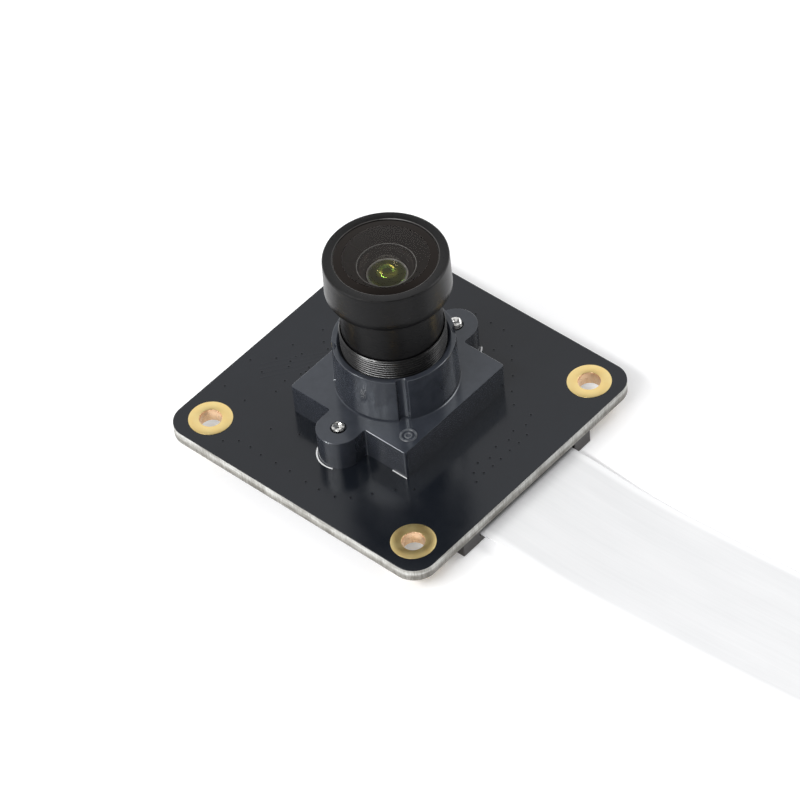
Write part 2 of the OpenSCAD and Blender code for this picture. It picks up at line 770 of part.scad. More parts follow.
module oscillator() {
    x = oscillator_l / 2;
    y = oscillator_w / 2;
    color([0.75, 0.72, 0.6]) translate([housing_back - chip_inset, -board_w / 2 + chip_inset, 0])
        union() {
            span([-x, -y, -oscillator_h], [x, y, 0]);
            span([-x + 0.2, -y + 0.2, -oscillator_h - oscillator_lid], [x - 0.2, y - 0.2, -oscillator_h]);
        }
}

// Two ranks of small parts behind the sensor, larger ones beside the regulators
module capacitors() {
    small = [small_l, small_w, small_h];
    large = [large_l, large_w, large_h];
    bank_x = -board_w / 2 + regulator_inset + regulator_h + 2.8;
    color([0.7, 0.6, 0.45]) union() {
        for (k = [-3:3], s = [-1, 1]) translate([k * small_pitch, s * 1.7 * small_pitch, 0])
            rotate(90) chip_part(small);
        for (k = [-3, -1, 1, 3]) translate([bank_x, k * regulator_pitch / 2 * 0.95, 0])
            rotate(90) chip_part(large);
    }
}

module resistors() {
    small = [small_l, small_w, small_h];
    rank_x = housing_back - 3.4;
    color([0.15, 0.15, 0.16]) union() {
        for (k = [-2.5:2.5]) translate([k * small_pitch, 0, 0]) rotate(90) chip_part(small);
        for (k = [-2:2]) translate([rank_x, k * 1.25 * small_pitch, 0]) chip_part(small);
    }
}

module ferrite_beads() {
    x = -board_w / 2 + regulator_inset + regulator_h + 2;
    y = hole_pitch / 2 - ring_d / 2 - bead_gap - large_w / 2;
    color([0.3, 0.3, 0.32]) for (s = [-1, 1])
        translate([x, s * y, 0]) chip_part([large_l, large_w, large_h]);
}

pcb();
hole_platings();
lens_holder();
holder_screws();
lens_barrel();
front_element();
second_element();
front_spacer();
third_element();
aperture_stop();
fourth_element();
fifth_element();
rear_spacer();
rear_element();
retaining_ring();
ir_filter();
sensor_package();
sensor_die();
sensor_glass();
connector_housing();
connector_latch();
connector_contacts();
connector_tabs();
ribbon_cable();
ribbon_near_stiffener();
ribbon_near_contacts();
ribbon_far_stiffener();
ribbon_far_contacts();
oscillator();
regulators();
memory_chip();
capacitors();
resistors();
ferrite_beads();
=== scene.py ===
import random
import bmesh
import bpy
from math import acos, atan2, ceil, cos, exp, pi, radians, sin, sqrt, tan
from mathutils import Matrix, Vector, geometry, noise as mnoise


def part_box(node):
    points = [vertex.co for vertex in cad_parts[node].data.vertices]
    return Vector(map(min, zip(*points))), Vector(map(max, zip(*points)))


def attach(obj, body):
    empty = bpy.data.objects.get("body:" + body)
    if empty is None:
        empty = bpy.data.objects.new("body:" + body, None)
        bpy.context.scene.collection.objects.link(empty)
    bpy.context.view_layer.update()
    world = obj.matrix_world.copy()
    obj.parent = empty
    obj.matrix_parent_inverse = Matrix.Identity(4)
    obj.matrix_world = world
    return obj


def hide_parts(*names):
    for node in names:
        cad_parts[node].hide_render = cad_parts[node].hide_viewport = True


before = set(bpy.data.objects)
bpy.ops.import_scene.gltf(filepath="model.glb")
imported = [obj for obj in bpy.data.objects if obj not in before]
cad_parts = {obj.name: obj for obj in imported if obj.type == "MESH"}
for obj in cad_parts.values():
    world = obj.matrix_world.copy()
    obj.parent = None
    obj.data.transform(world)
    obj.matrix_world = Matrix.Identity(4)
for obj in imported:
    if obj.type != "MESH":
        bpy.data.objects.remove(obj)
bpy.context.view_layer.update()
MM = 0.001
TAU = 2 * pi


def heading(azimuth, elevation):
    """The unit vector towards these angles, in degrees."""
    a, e = radians(azimuth), radians(elevation)
    return Vector((cos(e) * cos(a), cos(e) * sin(a), sin(e)))


def polar(r, a, centre=(0, 0)):
    return centre[0] + r * cos(a), centre[1] + r * sin(a)


# ---- camera

def make_camera():
    """The photograph's camera. It was fitted in a frame whose origin is on the board's upper face."""
    focal_px = 4384.54
    back, roll = heading(-44.754, 46.509), radians(-5.760)
    right = (-back).cross(Vector((0, 0, 1))).normalized()
    up = right.cross(-back)
    r = cos(roll) * right + sin(roll) * up
    u = -sin(roll) * right + cos(roll) * up
    place = back * 493.874 + r * 0.100 + u * -0.005 + Vector((-0.06, -0.07, 1.6))
    data = bpy.data.cameras.new("camera")
    data.sensor_width = 36
    data.lens = focal_px / 800 * 36
    data.clip_start, data.clip_end = 0.01, 20
    cam = bpy.data.objects.new("camera", data)
    bpy.context.scene.collection.objects.link(cam)
    turn = Matrix((r, u, back)).transposed().to_4x4()
    cam.matrix_world = Matrix.Translation(place * MM) @ turn
    bpy.context.scene.camera = cam
    bpy.context.scene.view_settings.view_transform = "Standard"


make_camera()


# ---- sizes, in millimetres

def low(node):
    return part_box(node)[0] / MM


def high(node):
    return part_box(node)[1] / MM


# The board, from its underside at 0 to its upper face
TOP = high("pcb").z
HALF = high("pcb").x
BOARD_R = 2.8
HOLE = 30.3 / 2
FLOOR_Z = low("connector_housing").z

# The holder: block, ears, collar, and the steps inside it for the filter
BLOCK_Z, BLOCK_HALF = TOP + 4, 8.5
EAR_Y, EAR_R = 10.0, 2.55
COLLAR_Z = high("lens_holder").z
BORE_R = 6.05
CHAMBER_Z, LEDGE_Z, SHELF_Z = 4.2, 4.85, 5.2

# The lens barrel: heights, radii and the bore for the glasses
REAR_Z, RIM_Z = low("lens_barrel").z, high("lens_barrel").z
NECK_Z = COLLAR_Z + 2.25
HOOD_Z = NECK_Z + 5.95
SEAT_Z, STEP_Z = low("front_element").z, 20.8
PITCH, THREAD_R, ROOT_R, NECK_R = 0.35, 6.0, 5.88, 5.70
STACK_R, GLASS_R, THROAT_R = 4.2, 4.15, 3.3

# The ribbon and its connector
WAYS, RIBBON_HALF, SLOT_Z = 15, 8.0, -1.1


# ---- materials

class Tree:
    """The nodes of a material or world. add makes one, with values or other outputs for its inputs."""

    def __init__(self, owner):
        owner.use_nodes = True
        self.nodes, self.links = owner.node_tree.nodes, owner.node_tree.links
        self.nodes.clear()

    def add(self, kind, inputs, out=0, **settings):
        node = self.nodes.new("ShaderNode" + kind)
        for key, value in settings.items():
            setattr(node, key, value)
        for key, value in inputs.items():
            if isinstance(value, bpy.types.NodeSocket):
                self.links.new(value, node.inputs[key])
            else:
                node.inputs[key].default_value = value
        return node.outputs[out] if node.outputs else None


def new_material(name):
    m = bpy.data.materials.new(name)
    return m, Tree(m)


def surface(m, tree, look):
    """Ends a material's tree with the shader that has this look."""
    tree.add("OutputMaterial", {"Surface": tree.add("BsdfPrincipled", look)})
    return m


def coords(tree, scale=(1, 1, 1)):
    """Object coordinates in millimetres, stretched by scale."""
    where = tree.add("TexCoord", {}, "Object")
    return tree.add("Mapping", {"Vector": where, "Scale": [s / MM for s in scale]})


def noise(tree, where, scale, detail=3.0, rough=0.5):
    values = {"Vector": where, "Scale": scale, "Detail": detail, "Roughness": rough}
    return tree.add("TexNoise", values, "Fac")


def ramp(tree, value, stops):
    """Colours for a value: stops are [(value, colour)]."""
    color = tree.add("ValToRGB", {"Fac": value}, "Color")
    elements = color.node.color_ramp.elements
    first, last = elements
    first.position, first.color = stops[0][0], (*stops[0][1], 1)
    last.position, last.color = stops[-1][0], (*stops[-1][1], 1)
    for at, c in stops[1:-1]:
        elements.new(at).color = (*c, 1)
    return color


def span_map(tree, value, a, b, start=0.0, end=1.0, kind="LINEAR"):
    """The value's span from start to end mapped to a to b."""
    values = {"Value": value, "From Min": start, "From Max": end, "To Min": a, "To Max": b}
    return tree.add("MapRange", values, interpolation_type=kind)


def bump(tree, height, strength, distance):
    return tree.add("Bump", {"Height": height, "Strength": strength, "Distance": distance * MM})


def mottled(name, dark, light, rough, grain, metal=0.0, fine=None, strength=0.2, depth=0.02,
            stretch=(1, 1, 1), ior=1.5, spec=0.5, tint=None):
    """A surface whose colour and gloss vary with a noise, with a finer noise as its relief."""
    m, tree = new_material(name)
    where = coords(tree, stretch)
    broad = noise(tree, where, grain, 4.0)
    look = {"Base Color": ramp(tree, broad, [(0.32, dark), (0.68, light)]),
            "Roughness": span_map(tree, broad, *rough, 0.3, 0.7),
            "Metallic": metal, "IOR": ior, "Specular IOR Level": spec}
    if tint:
        look["Specular Tint"] = (*tint, 1)
    if fine:
        look["Normal"] = bump(tree, noise(tree, where, fine, 2.0), strength, depth)
    return surface(m, tree, look)


def laminate():
    """The board's sawn edge: glass cloth in layers, greyer below, with upright marks of the cutter."""
    m, tree = new_material("laminate_edge")
    layers = noise(tree, coords(tree, (0.35, 0.35, 7)), 1.0, 3.0, 0.6)
    marks = noise(tree, coords(tree, (5, 5, 0.7)), 1.0, 3.0, 0.6)
    patch = noise(tree, coords(tree), 0.45)
    grain = tree.add("Mix", {"Factor": 0.5, "A": layers, "B": marks}, "Result")
    wear = tree.add("Mix", {"Factor": 0.35, "A": grain, "B": patch}, "Result")
    height = tree.add("SeparateXYZ", {"Vector": coords(tree)}, "Z")
    shade = tree.add("Math", {0: wear, 1: span_map(tree, height, -0.11, 0.06, 0.42, 0.98)}, operation="ADD")
    stops = [(0.34, (0.15, 0.14, 0.12)), (0.5, (0.37, 0.36, 0.33)), (0.64, (0.68, 0.68, 0.65))]
    return surface(m, tree, {"Base Color": ramp(tree, shade, stops), "Normal": bump(tree, wear, 0.6, 0.06),
                             "Roughness": span_map(tree, marks, 0.35, 0.7)})


def glass_material(name, tint, coat, ior):
    """Coated glass: tint is what shows through it, coat what it reflects."""
    m, tree = new_material(name)
    streaks = noise(tree, coords(tree), 1.5)
    stops = [(0.3, [0.97 * c for c in tint]), (0.7, tint)]
    return surface(m, tree, {"Base Color": ramp(tree, streaks, stops), "Transmission Weight": 1.0, "IOR": ior,
                             "Specular Tint": (*coat, 1), "Roughness": 0.0})


MAT = {
    "mask": mottled("solder_mask", (0.0066, 0.0083, 0.0116), (0.0084, 0.0103, 0.0142), (0.15, 0.21), 0.35,
                    fine=1.6, strength=0.05, ior=1.45),
    "trace": mottled("masked_copper", (0.0088, 0.0108, 0.0146), (0.0108, 0.0130, 0.0173), (0.16, 0.22), 0.5,
                     fine=2.5, strength=0.05, ior=1.45),
    "pit": mottled("via_pit", (0.002, 0.002, 0.0025), (0.004, 0.004, 0.005), (0.4, 0.5), 8.0, spec=0.2),
    "laminate": laminate(),
    "ink": mottled("white_ink", (0.72, 0.73, 0.73), (0.86, 0.86, 0.86), (0.4, 0.55), 6.0,
                   fine=20.0, depth=0.01),
    "gold": mottled("gold_plating", (0.99, 0.73, 0.30), (1.0, 0.79, 0.36), (0.29, 0.35), 0.7, metal=1.0,
                    fine=7.0, strength=0.10, depth=0.006),
    "copper": mottled("plated_barrel", (0.90, 0.61, 0.38), (0.98, 0.71, 0.48), (0.22, 0.36), 2.0, metal=1.0,
                      fine=6.0, strength=0.3, stretch=(1, 1, 0.4)),
    "holder": mottled("moulded_holder", (0.0262, 0.0296, 0.0378), (0.0336, 0.0378, 0.0478), (0.15, 0.20), 0.8,
                      fine=2.2, strength=0.05, depth=0.012, ior=1.60, tint=(0.92, 0.96, 1.0)),
    # the mark is lighter than the block it is moulded in: a painted highlight for glints on its raised edges
    "mark": mottled("moulded_mark_painted_highlight", (0.035, 0.039, 0.047), (0.14, 0.15, 0.165), (0.3, 0.45), 4.5,
                    fine=9.0, strength=0.3),
    "barrel": mottled("black_anodised", (0.0032, 0.0032, 0.0036), (0.0050, 0.0049, 0.0054), (0.26, 0.34), 1.6,
                      fine=5.0, strength=0.08, depth=0.006, stretch=(0.3, 0.3, 7), spec=0.16),
    # the rim's face: a lighter, glossier copy of the black anodised finish, as painted light on the top face
    "rim": mottled("anodised_face_painted_light", (0.0045, 0.0043, 0.0044), (0.0065, 0.0062, 0.0062), (0.26, 0.36), 1.6,
                   fine=5.0, strength=0.08, depth=0.006, spec=0.27),
    "thread": mottled("cut_thread", (0.005, 0.005, 0.0053), (0.008, 0.0078, 0.0076), (0.20, 0.28), 2.0,
                      stretch=(0.4, 0.4, 5)),
    "paint": mottled("blackened_inside", (0.0012, 0.0012, 0.0012), (0.0022, 0.0022, 0.0022), (0.7, 0.8), 4.0,
                     spec=0.04),
    "ground": mottled("ground_edge", (0.16, 0.155, 0.15), (0.24, 0.235, 0.23), (0.35, 0.5), 6.0),
    # the lip's turned edge: its lighter colour is a painted highlight along the chamfer
    "turned": mottled("turned_edge_painted_highlight", (0.045, 0.042, 0.04), (0.085, 0.08, 0.076), (0.25, 0.4), 0.6),
    "seat": mottled("seat_edge", (0.05, 0.05, 0.05), (0.09, 0.09, 0.088), (0.3, 0.4), 1.5),
    "steel": mottled("plated_steel", (0.62, 0.615, 0.59), (0.90, 0.89, 0.86), (0.16, 0.30), 3.0, metal=1.0,
                     fine=6.0, strength=0.4, depth=0.05),
    "tin": mottled("tin", (0.62, 0.62, 0.60), (0.82, 0.82, 0.81), (0.26, 0.42), 4.0, metal=1.0,
                   fine=12.0, strength=0.25),
    "solder": mottled("solder", (0.56, 0.57, 0.58), (0.78, 0.79, 0.80), (0.14, 0.30), 3.0, metal=1.0,
                      fine=5.0, strength=0.3, depth=0.04),
    "contact": mottled("contact_alloy", (0.72, 0.54, 0.26), (0.88, 0.70, 0.40), (0.2, 0.32), 4.0, metal=1.0,
                       fine=12.0, depth=0.01),
    "housing": mottled("connector_plastic", (0.014, 0.014, 0.0145), (0.024, 0.024, 0.025), (0.42, 0.58), 2.0,
                       fine=16.0, strength=0.25),
    "latch": mottled("latch_plastic", (0.022, 0.018, 0.017), (0.036, 0.031, 0.030), (0.34, 0.48), 2.0,
                     fine=16.0),
    "resin": mottled("chip_resin", (0.016, 0.016, 0.016), (0.028, 0.028, 0.029), (0.5, 0.66), 4.0,
                     fine=22.0, strength=0.3),
    "ceramic": mottled("capacitor_ceramic", (0.26, 0.16, 0.085), (0.40, 0.28, 0.17), (0.4, 0.55), 5.0,
                       fine=20.0),
    "alumina": mottled("resistor_base", (0.62, 0.62, 0.60), (0.78, 0.78, 0.76), (0.5, 0.65), 6.0),
    "film": mottled("resistor_film", (0.010, 0.010, 0.011), (0.020, 0.020, 0.022), (0.25, 0.4), 4.0),
    "ferrite": mottled("ferrite", (0.05, 0.05, 0.052), (0.09, 0.09, 0.095), (0.4, 0.6), 6.0,
                       fine=20.0),
    "package": mottled("sensor_base", (0.05, 0.05, 0.055), (0.08, 0.08, 0.085), (0.5, 0.6), 4.0),
    "silicon": mottled("silicon", (0.05, 0.03, 0.06), (0.07, 0.06, 0.09), (0.1, 0.2), 3.0, metal=0.5),
    "lid": mottled("oscillator_lid", (0.66, 0.62, 0.52), (0.80, 0.76, 0.66), (0.2, 0.34), 2.0, metal=1.0,
                   fine=3.0, strength=0.1),
    "front_glass": glass_material("front_glass", (0.93, 0.91, 0.86), (1.0, 0.88, 0.80), 1.38),
    "hollow_glass": glass_material("coated_hollow", (0.93, 0.91, 0.86), (0.22, 0.17, 0.07), 1.38),
    "dark_glass": mottled("blackened_glass", (0.0030, 0.0022, 0.0018), (0.0040, 0.0030, 0.0024),
                          (0.02, 0.04), 0.5, ior=1.315, tint=(1.0, 0.84, 0.74)),
    "second_glass": glass_material("second_glass", (0.86, 0.90, 0.62), (0.45, 1.0, 0.12), 1.6),
    "green_glass": glass_material("green_glass", (0.70, 0.78, 0.16), (0.50, 1.0, 0.08), 1.7),
    "amber_glass": glass_material("amber_glass", (0.62, 0.66, 0.14), (1.0, 0.85, 0.22), 1.6),
    # the olive base colour is a painted reflection: it stands in for the light the coated glasses reflect
    # inside the lens; the amber specular tint is the coating's own
    "coat_with_painted_olive_reflection": mottled("coat_with_painted_olive_reflection", (0.002, 0.003, 0.0003), (0.020, 0.025, 0.003), (0.03, 0.07), 1.1,
                          ior=1.7, tint=(1.0, 0.84, 0.22)),
    "plain_glass": glass_material("plain_glass", (0.92, 0.97, 0.98), (1, 1, 1), 1.52),
    "stiff_white": mottled("stiffener_white", (0.72, 0.73, 0.75), (0.84, 0.85, 0.87), (0.3, 0.42), 2.0,
                           fine=10.0, strength=0.08, depth=0.01),
    "stiff_blue": mottled("stiffener_blue", (0.012, 0.075, 0.38), (0.025, 0.12, 0.50), (0.3, 0.42), 2.0,
                          fine=10.0, strength=0.08, depth=0.01),
}


# ---- mesh helpers

def piece(name, verts, faces, mats, body, index=None, smooth=35, node=None, slot=None, weld=True):
    """A mesh piece from points in millimetres, that rides on a body and stands for a CAD node.

    index gives each face's material; edges sharper than smooth degrees stay sharp.
    """
    mesh = bpy.data.meshes.new(name)
    mesh.from_pydata([Vector(v) * MM for v in verts], [], faces)
    for m in mats:
        mesh.materials.append(MAT[m])
    if index:
        mesh.polygons.foreach_set("material_index", index)
    bm = bmesh.new()
    bm.from_mesh(mesh)
    if weld:
        bmesh.ops.remove_doubles(bm, verts=bm.verts, dist=1e-7)
        bmesh.ops.dissolve_degenerate(bm, edges=bm.edges, dist=1e-8)
    bmesh.ops.recalc_face_normals(bm, faces=bm.faces)
    bm.to_mesh(mesh)
    bm.free()
    mesh.polygons.foreach_set("use_smooth", [True] * len(mesh.polygons))
    mesh.set_sharp_from_angle(angle=radians(smooth))
    mesh.update()
    obj = bpy.data.objects.new(name, mesh)
    bpy.context.scene.collection.objects.link(obj)
    even = obj.modifiers.new("even", "WEIGHTED_NORMAL")
    even.keep_sharp = True
    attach(obj, body)
    if node:
        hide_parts(node)
    return obj


class Shape:
    """Collects points, faces and the faces' materials for one piece; at places what is added."""

    def __init__(self):
        self.v, self.f, self.m = [], [], []
        self.at = None

    def add(self, verts, faces, mat=0):
        n = len(self.v)
        self.v += [tuple(self.at @ Vector(p)) if self.at else tuple(p) for p in verts]
        self.f += [tuple(i + n for i in f) for f in faces]
        self.m += [mat] * len(faces) if isinstance(mat, int) else list(mat)

    def turn(self, profile, mats=0, segs=96, centre=(0, 0), closed=False):
        """Adds points [(r, z)] turned round a vertical axis, with one material or one for each row."""
        verts, faces = lathe(profile, segs, centre, closed)
        self.add(verts, faces, mats if isinstance(mats, int) else [m for m in mats for _ in range(segs)])

    def make(self, name, mats, body="board", **more):
        return piece(name, self.v, self.f, mats, body, index=self.m, **more)


def grid_faces(rows, cols, closed_rows=False, closed_cols=True):
    out = []
    for i in range(rows if closed_rows else rows - 1):
        for j in range(cols if closed_cols else cols - 1):
            a, b = i * cols + j, i * cols + (j + 1) % cols
            c, d = ((i + 1) % rows) * cols + (j + 1) % cols, ((i + 1) % rows) * cols + j
            out.append((a, b, c, d))
    return out


def lathe(profile, segs, centre, closed):
    """Points [(r, z)] turned round a vertical axis. closed joins the last point to the first."""
    angles = [TAU * k / segs for k in range(segs)]
    verts = [(*polar(r, a, centre), z) for r, z in profile for a in angles]
    return verts, grid_faces(len(profile), segs, closed_rows=closed)


def fillet(profile, radii, steps):
    """Rounds the corners of a closed profile; radii gives one radius per corner, 0 keeps it sharp."""
    out, n = [], len(profile)
    for i, (p, rad) in enumerate(zip(profile, radii)):
        p = Vector(p)
        if not rad:
            out.append(tuple(p))
            continue
        a, b = Vector(profile[i - 1]) - p, Vector(profile[(i + 1) % n]) - p
        la, lb = a.length, b.length
        a.normalize()
        b.normalize()
        half = acos(max(-1, min(1, a.dot(b)))) / 2
        cut = min(rad / tan(half), la * 0.49, lb * 0.49)
        r = cut * tan(half)
        centre = p + (a + b).normalized() * (r / sin(half))
        s, e = p + a * cut - centre, p + b * cut - centre
        turn = atan2(s.x * e.y - s.y * e.x, s.dot(e))
        for k in range(steps + 1):
            t = turn * k / steps
            out.append((centre.x + s.x * cos(t) - s.y * sin(t),
                        centre.y + s.x * sin(t) + s.y * cos(t)))
    return out


def inset(loop, d):
    """A loop of 2-D points moved inwards by d; the loop runs anticlockwise."""
    out, n = [], len(loop)
    for i in range(n):
        p, a, b = Vector(loop[i]), Vector(loop[i - 1]), Vector(loop[(i + 1) % n])
        e1, e2 = (p - a).normalized(), (b - p).normalized()
        n1, n2 = Vector((-e1.y, e1.x)), Vector((-e2.y, e2.x))
        m = n1 + n2
        if m.length < 1e-9:
            m = n1
        m.normalize()
        out.append(tuple(p + m * (d / max(0.4, m.dot(n1)))))
    return out


def circle(r, segs, centre=(0, 0)):
    return [polar(r, TAU * k / segs, centre) for k in range(segs)]


def rounded_rect(hx, hy, r, steps, centre=(0, 0)):
    out = []
    for sx, sy, start in ((1, 1, 0), (-1, 1, 90), (-1, -1, 180), (1, -1, 270)):
        for k in range(steps + 1):
            a = radians(start + 90 * k / steps)
            out.append(polar(r, a, (centre[0] + sx * (hx - r), centre[1] + sy * (hy - r))))
    return out


def cap(shape, loops, z, mat=0, up=True):
    """A flat face with holes: loops[0] is its outline and the others its holes."""
    polys = [[Vector((x, y, 0)) for x, y in loop] for loop in loops]
    flat = [p for loop in loops for p in loop]
    tris = geometry.tessellate_polygon(polys)
    shape.add([(x, y, z) for x, y in flat], [tuple(t) if up else tuple(reversed(t)) for t in tris], mat)


def wall(shape, loop_low, z_low, loop_high, z_high, mat=0):
    n = len(loop_low)
    shape.add([(x, y, z_low) for x, y in loop_low] + [(x, y, z_high) for x, y in loop_high],
              [(i, (i + 1) % n, n + (i + 1) % n, n + i) for i in range(n)], mat)


def slab(shape, loop, z0, z1, bevel, steps=2, mat=0):
    """A flat-topped solid with an outline and rounded edges."""
    rings = [(inset(loop, bevel * (1 - cos(pi / 2 * k / steps))),
              bevel * (1 - sin(pi / 2 * k / steps))) for k in range(steps + 1)]
    wall(shape, loop, z0 + bevel, loop, z1 - bevel, mat)
    for (la, da), (lb, db) in zip(rings, rings[1:]):
        wall(shape, la, z1 - da, lb, z1 - db, mat)
        wall(shape, lb, z0 + db, la, z0 + da, mat)
    cap(shape, [rings[-1][0]], z1, mat)
    cap(shape, [rings[-1][0]], z0, mat, up=False)


def block(shape, lo, hi, mat, bevel, steps=2, draft=1):
    """A box with rounded edges between two corners; draft narrows its lower side."""
    bm = bmesh.new()
    bmesh.ops.create_cube(bm, size=1)
    size = [abs(b - a) for a, b in zip(lo, hi)]
    mid = [(a + b) / 2 for a, b in zip(lo, hi)]
    for v in bm.verts:
        k = draft if v.co.z < 0 else 1
        v.co = Vector([m + c * s * (k if i < 2 else 1) for i, (m, c, s) in enumerate(zip(mid, v.co, size))])
    bmesh.ops.bevel(bm, geom=list(bm.edges), offset=min(bevel, min(size) * 0.3), segments=steps,
                    profile=0.5, affect="EDGES")
    bm.verts.index_update()
    shape.add([tuple(v.co) for v in bm.verts], [tuple(v.index for v in f.verts) for f in bm.faces], mat)
    bm.free()


def arc_band(shape, centre, r, width, a0, a1, z, h):
    """A thin raised band along an arc, in degrees."""
    rows, steps = [], 40
    for k in range(steps + 1):
        a = radians(a0 + (a1 - a0) * k / steps)
        for rr, zz in ((r - width / 2, z), (r - width / 2 + 0.02, z + h), (r + width / 2 - 0.02, z + h),
                       (r + width / 2, z)):
            rows.append((*polar(rr, a, centre), zz))
    shape.add(rows, grid_faces(steps + 1, 4, closed_cols=False))


def strip(shape, points, width, z, h):
    """A thin raised band along straight stretches, with flat ends; h below 0 hangs down."""
    rows = []
    for i, p in enumerate(points):
        p = Vector(p)
        a = (p - Vector(points[i - 1])).normalized() if i else None
        b = (Vector(points[i + 1]) - p).normalized() if i < len(points) - 1 else None
        d = ((a or b) + (b or a)).normalized()
        side = Vector((-d.y, d.x)) / max(0.5, d.dot(a or b))
        for s, zz in ((-0.5, z), (-0.38, z + h), (0.38, z + h), (0.5, z)):
            q = p + side * s * width
            rows.append((q.x, q.y, zz))
    shape.add(rows, grid_faces(len(points), 4, closed_cols=False))


# ---- the ribbon

EXIT_X, REST_Z = high("connector_latch").x, FLOOR_Z + 0.11
# How it lies: (x from the latch's front, y, share of its fall, share of a stiffener's thickness)
LAY = [
    (-4.1, 0, 0, 0), (-1.1, 0, 0, 0), (1.4, 0, 0, 0), (3.4, 0.02, 0.05, 0),
    (5.4, 0.08, 0.19, 0), (7.4, 0.17, 0.39, 0), (9.4, 0.28, 0.59, 0), (11.4, 0.42, 0.76, 0),
    (13.4, 0.56, 0.88, 0), (15.4, 0.7, 0.95, 0), (18.4, 0.9, 0.99, 0), (23.4, 1.2, 1, 0),
    (29.4, 1.6, 1, 0), (36.4, 2.15, 1, 0), (44.4, 2.85, 1, 0), (56.4, 3.95, 1, 0),
    (71.4, 5.4, 1, 0), (86.4, 6.85, 1, 0), (101.4, 8.3, 1, 0), (116.4, 9.75, 1, 0.1),
    (131.4, 11.2, 1, 0.5), (139.4, 11.97, 1, 1), (145.4, 12.55, 1, 1)]
ROUTE = [Vector((EXIT_X + x, y, SLOT_Z + fall * (REST_Z - SLOT_Z) + lift * 0.12))
         for x, y, fall, lift in LAY]


def along(points, step):
    """The route's points with more between them on a smooth curve, about step apart."""
    out = []
    for i in range(len(points) - 1):
        p1, p2 = points[i], points[i + 1]
        p0, p3 = points[max(i - 1, 0)], points[min(i + 2, len(points) - 1)]
        gap = (p2 - p1).length
        n = max(1, round(gap / step))
        d1 = (p2 - p0) * (gap / max((p2 - p0).length, 1e-9))
        d2 = (p3 - p1) * (gap / max((p3 - p1).length, 1e-9))
        for k in range(n):
            t = k / n
            out.append(p1 * (2 * t ** 3 - 3 * t ** 2 + 1) + d1 * (t ** 3 - 2 * t ** 2 + t)
                       + p2 * (3 * t ** 2 - 2 * t ** 3) + d2 * (t ** 3 - t ** 2))
    return out + [points[-1]]


def sweep_strip(path, section):
    """A closed cross-section [(across, up)] carried level along the path."""
    verts = []
    for i, p in enumerate(path):
        t = (path[min(i + 1, len(path) - 1)] - path[max(i - 1, 0)]).normalized()
        side = Vector((0, 0, 1)).cross(t).normalized()
        up = t.cross(side)
        verts += [tuple(p + side * s + up * h) for s, h in section]
    n, k = len(path), len(section)
    return verts, grid_faces(n, k) + [tuple(range(k)), tuple(reversed(range((n - 1) * k, n * k)))]


def ribbon_section():
    """The ribbon is thin at its film margins and a little thicker over its ways."""
    top = []
    for k in range(-60, 61):
        y = k / 60 * 7.98
        edge = min(1.0, (RIBBON_HALF - abs(y)) / 0.6)
        ways = 0.003 * cos(TAU * y) if abs(y) < 7.4 else -0.003
        top.append((y, 0.05 + 0.045 * edge + ways))
    outline = [(-RIBBON_HALF, 0.03)] + top + [(RIBBON_HALF, 0.03)]
    return outline + [(y, -h) for y, h in reversed(outline)]


def ribbon_material():
    """White film, with fine streaks along its ways and paler margins."""
    m, tree = new_material("ribbon_film")
    across = tree.add("Attribute", {}, "Fac", attribute_name="across")
    run = tree.add("Attribute", {}, "Fac", attribute_name="along")
    where = tree.add("CombineXYZ", {"X": across, "Y": run})

    def streaks(x, y, detail, rough):
        return noise(tree, tree.add("Mapping", {"Vector": where, "Scale": (x, y, 1)}), 1.0, detail, rough)
    lines, soft = streaks(3.2, 0.04, 4.0, 0.65), streaks(0.30, 0.07, 3.0, 0.5)
    tone = ramp(tree, lines, [(0.34, (0.720, 0.724, 0.730)), (0.66, (0.785, 0.787, 0.792))])
    veil = ramp(tree, soft, [(0.36, (0.735, 0.738, 0.744)), (0.64, (0.785, 0.787, 0.792))])
    film = tree.add("Mix", {"Factor": 0.6, "A": tone, "B": veil}, "Result", data_type="RGBA")
    aside = tree.add("Math", {0: across}, operation="ABSOLUTE")
    middle = span_map(tree, aside, 0.0, 1.0, 7.5, 6.9, "SMOOTHSTEP")
    whole = tree.add("Mix", {"Factor": middle, "A": (0.87, 0.872, 0.876, 1), "B": film}, "Result",
                     data_type="RGBA")
    return surface(m, tree, {"Base Color": whole, "Roughness": span_map(tree, soft, 0.34, 0.5),
                             "Normal": bump(tree, lines, 0.12, 0.02)})


def make_ribbon():
    MAT["ribbon"] = ribbon_material()
    path = along(ROUTE, 0.9)
    section = ribbon_section()
    verts, faces = sweep_strip(path, section)
    obj = piece("ribbon", verts, faces, ["ribbon"], "board", smooth=50, node="ribbon_cable",
                slot="ribbon_film", weld=False)
    across = obj.data.attributes.new("across", "FLOAT", "POINT")
    run = obj.data.attributes.new("along", "FLOAT", "POINT")
    travelled = [0.0]
    for a, b in zip(path, path[1:]):
        travelled.append(travelled[-1] + (b - a).length)
    k = len(section)
    across.data.foreach_set("value", [section[i % k][0] for i in range(len(verts))])
    run.data.foreach_set("value", [travelled[i // k] for i in range(len(verts))])
    return obj, path


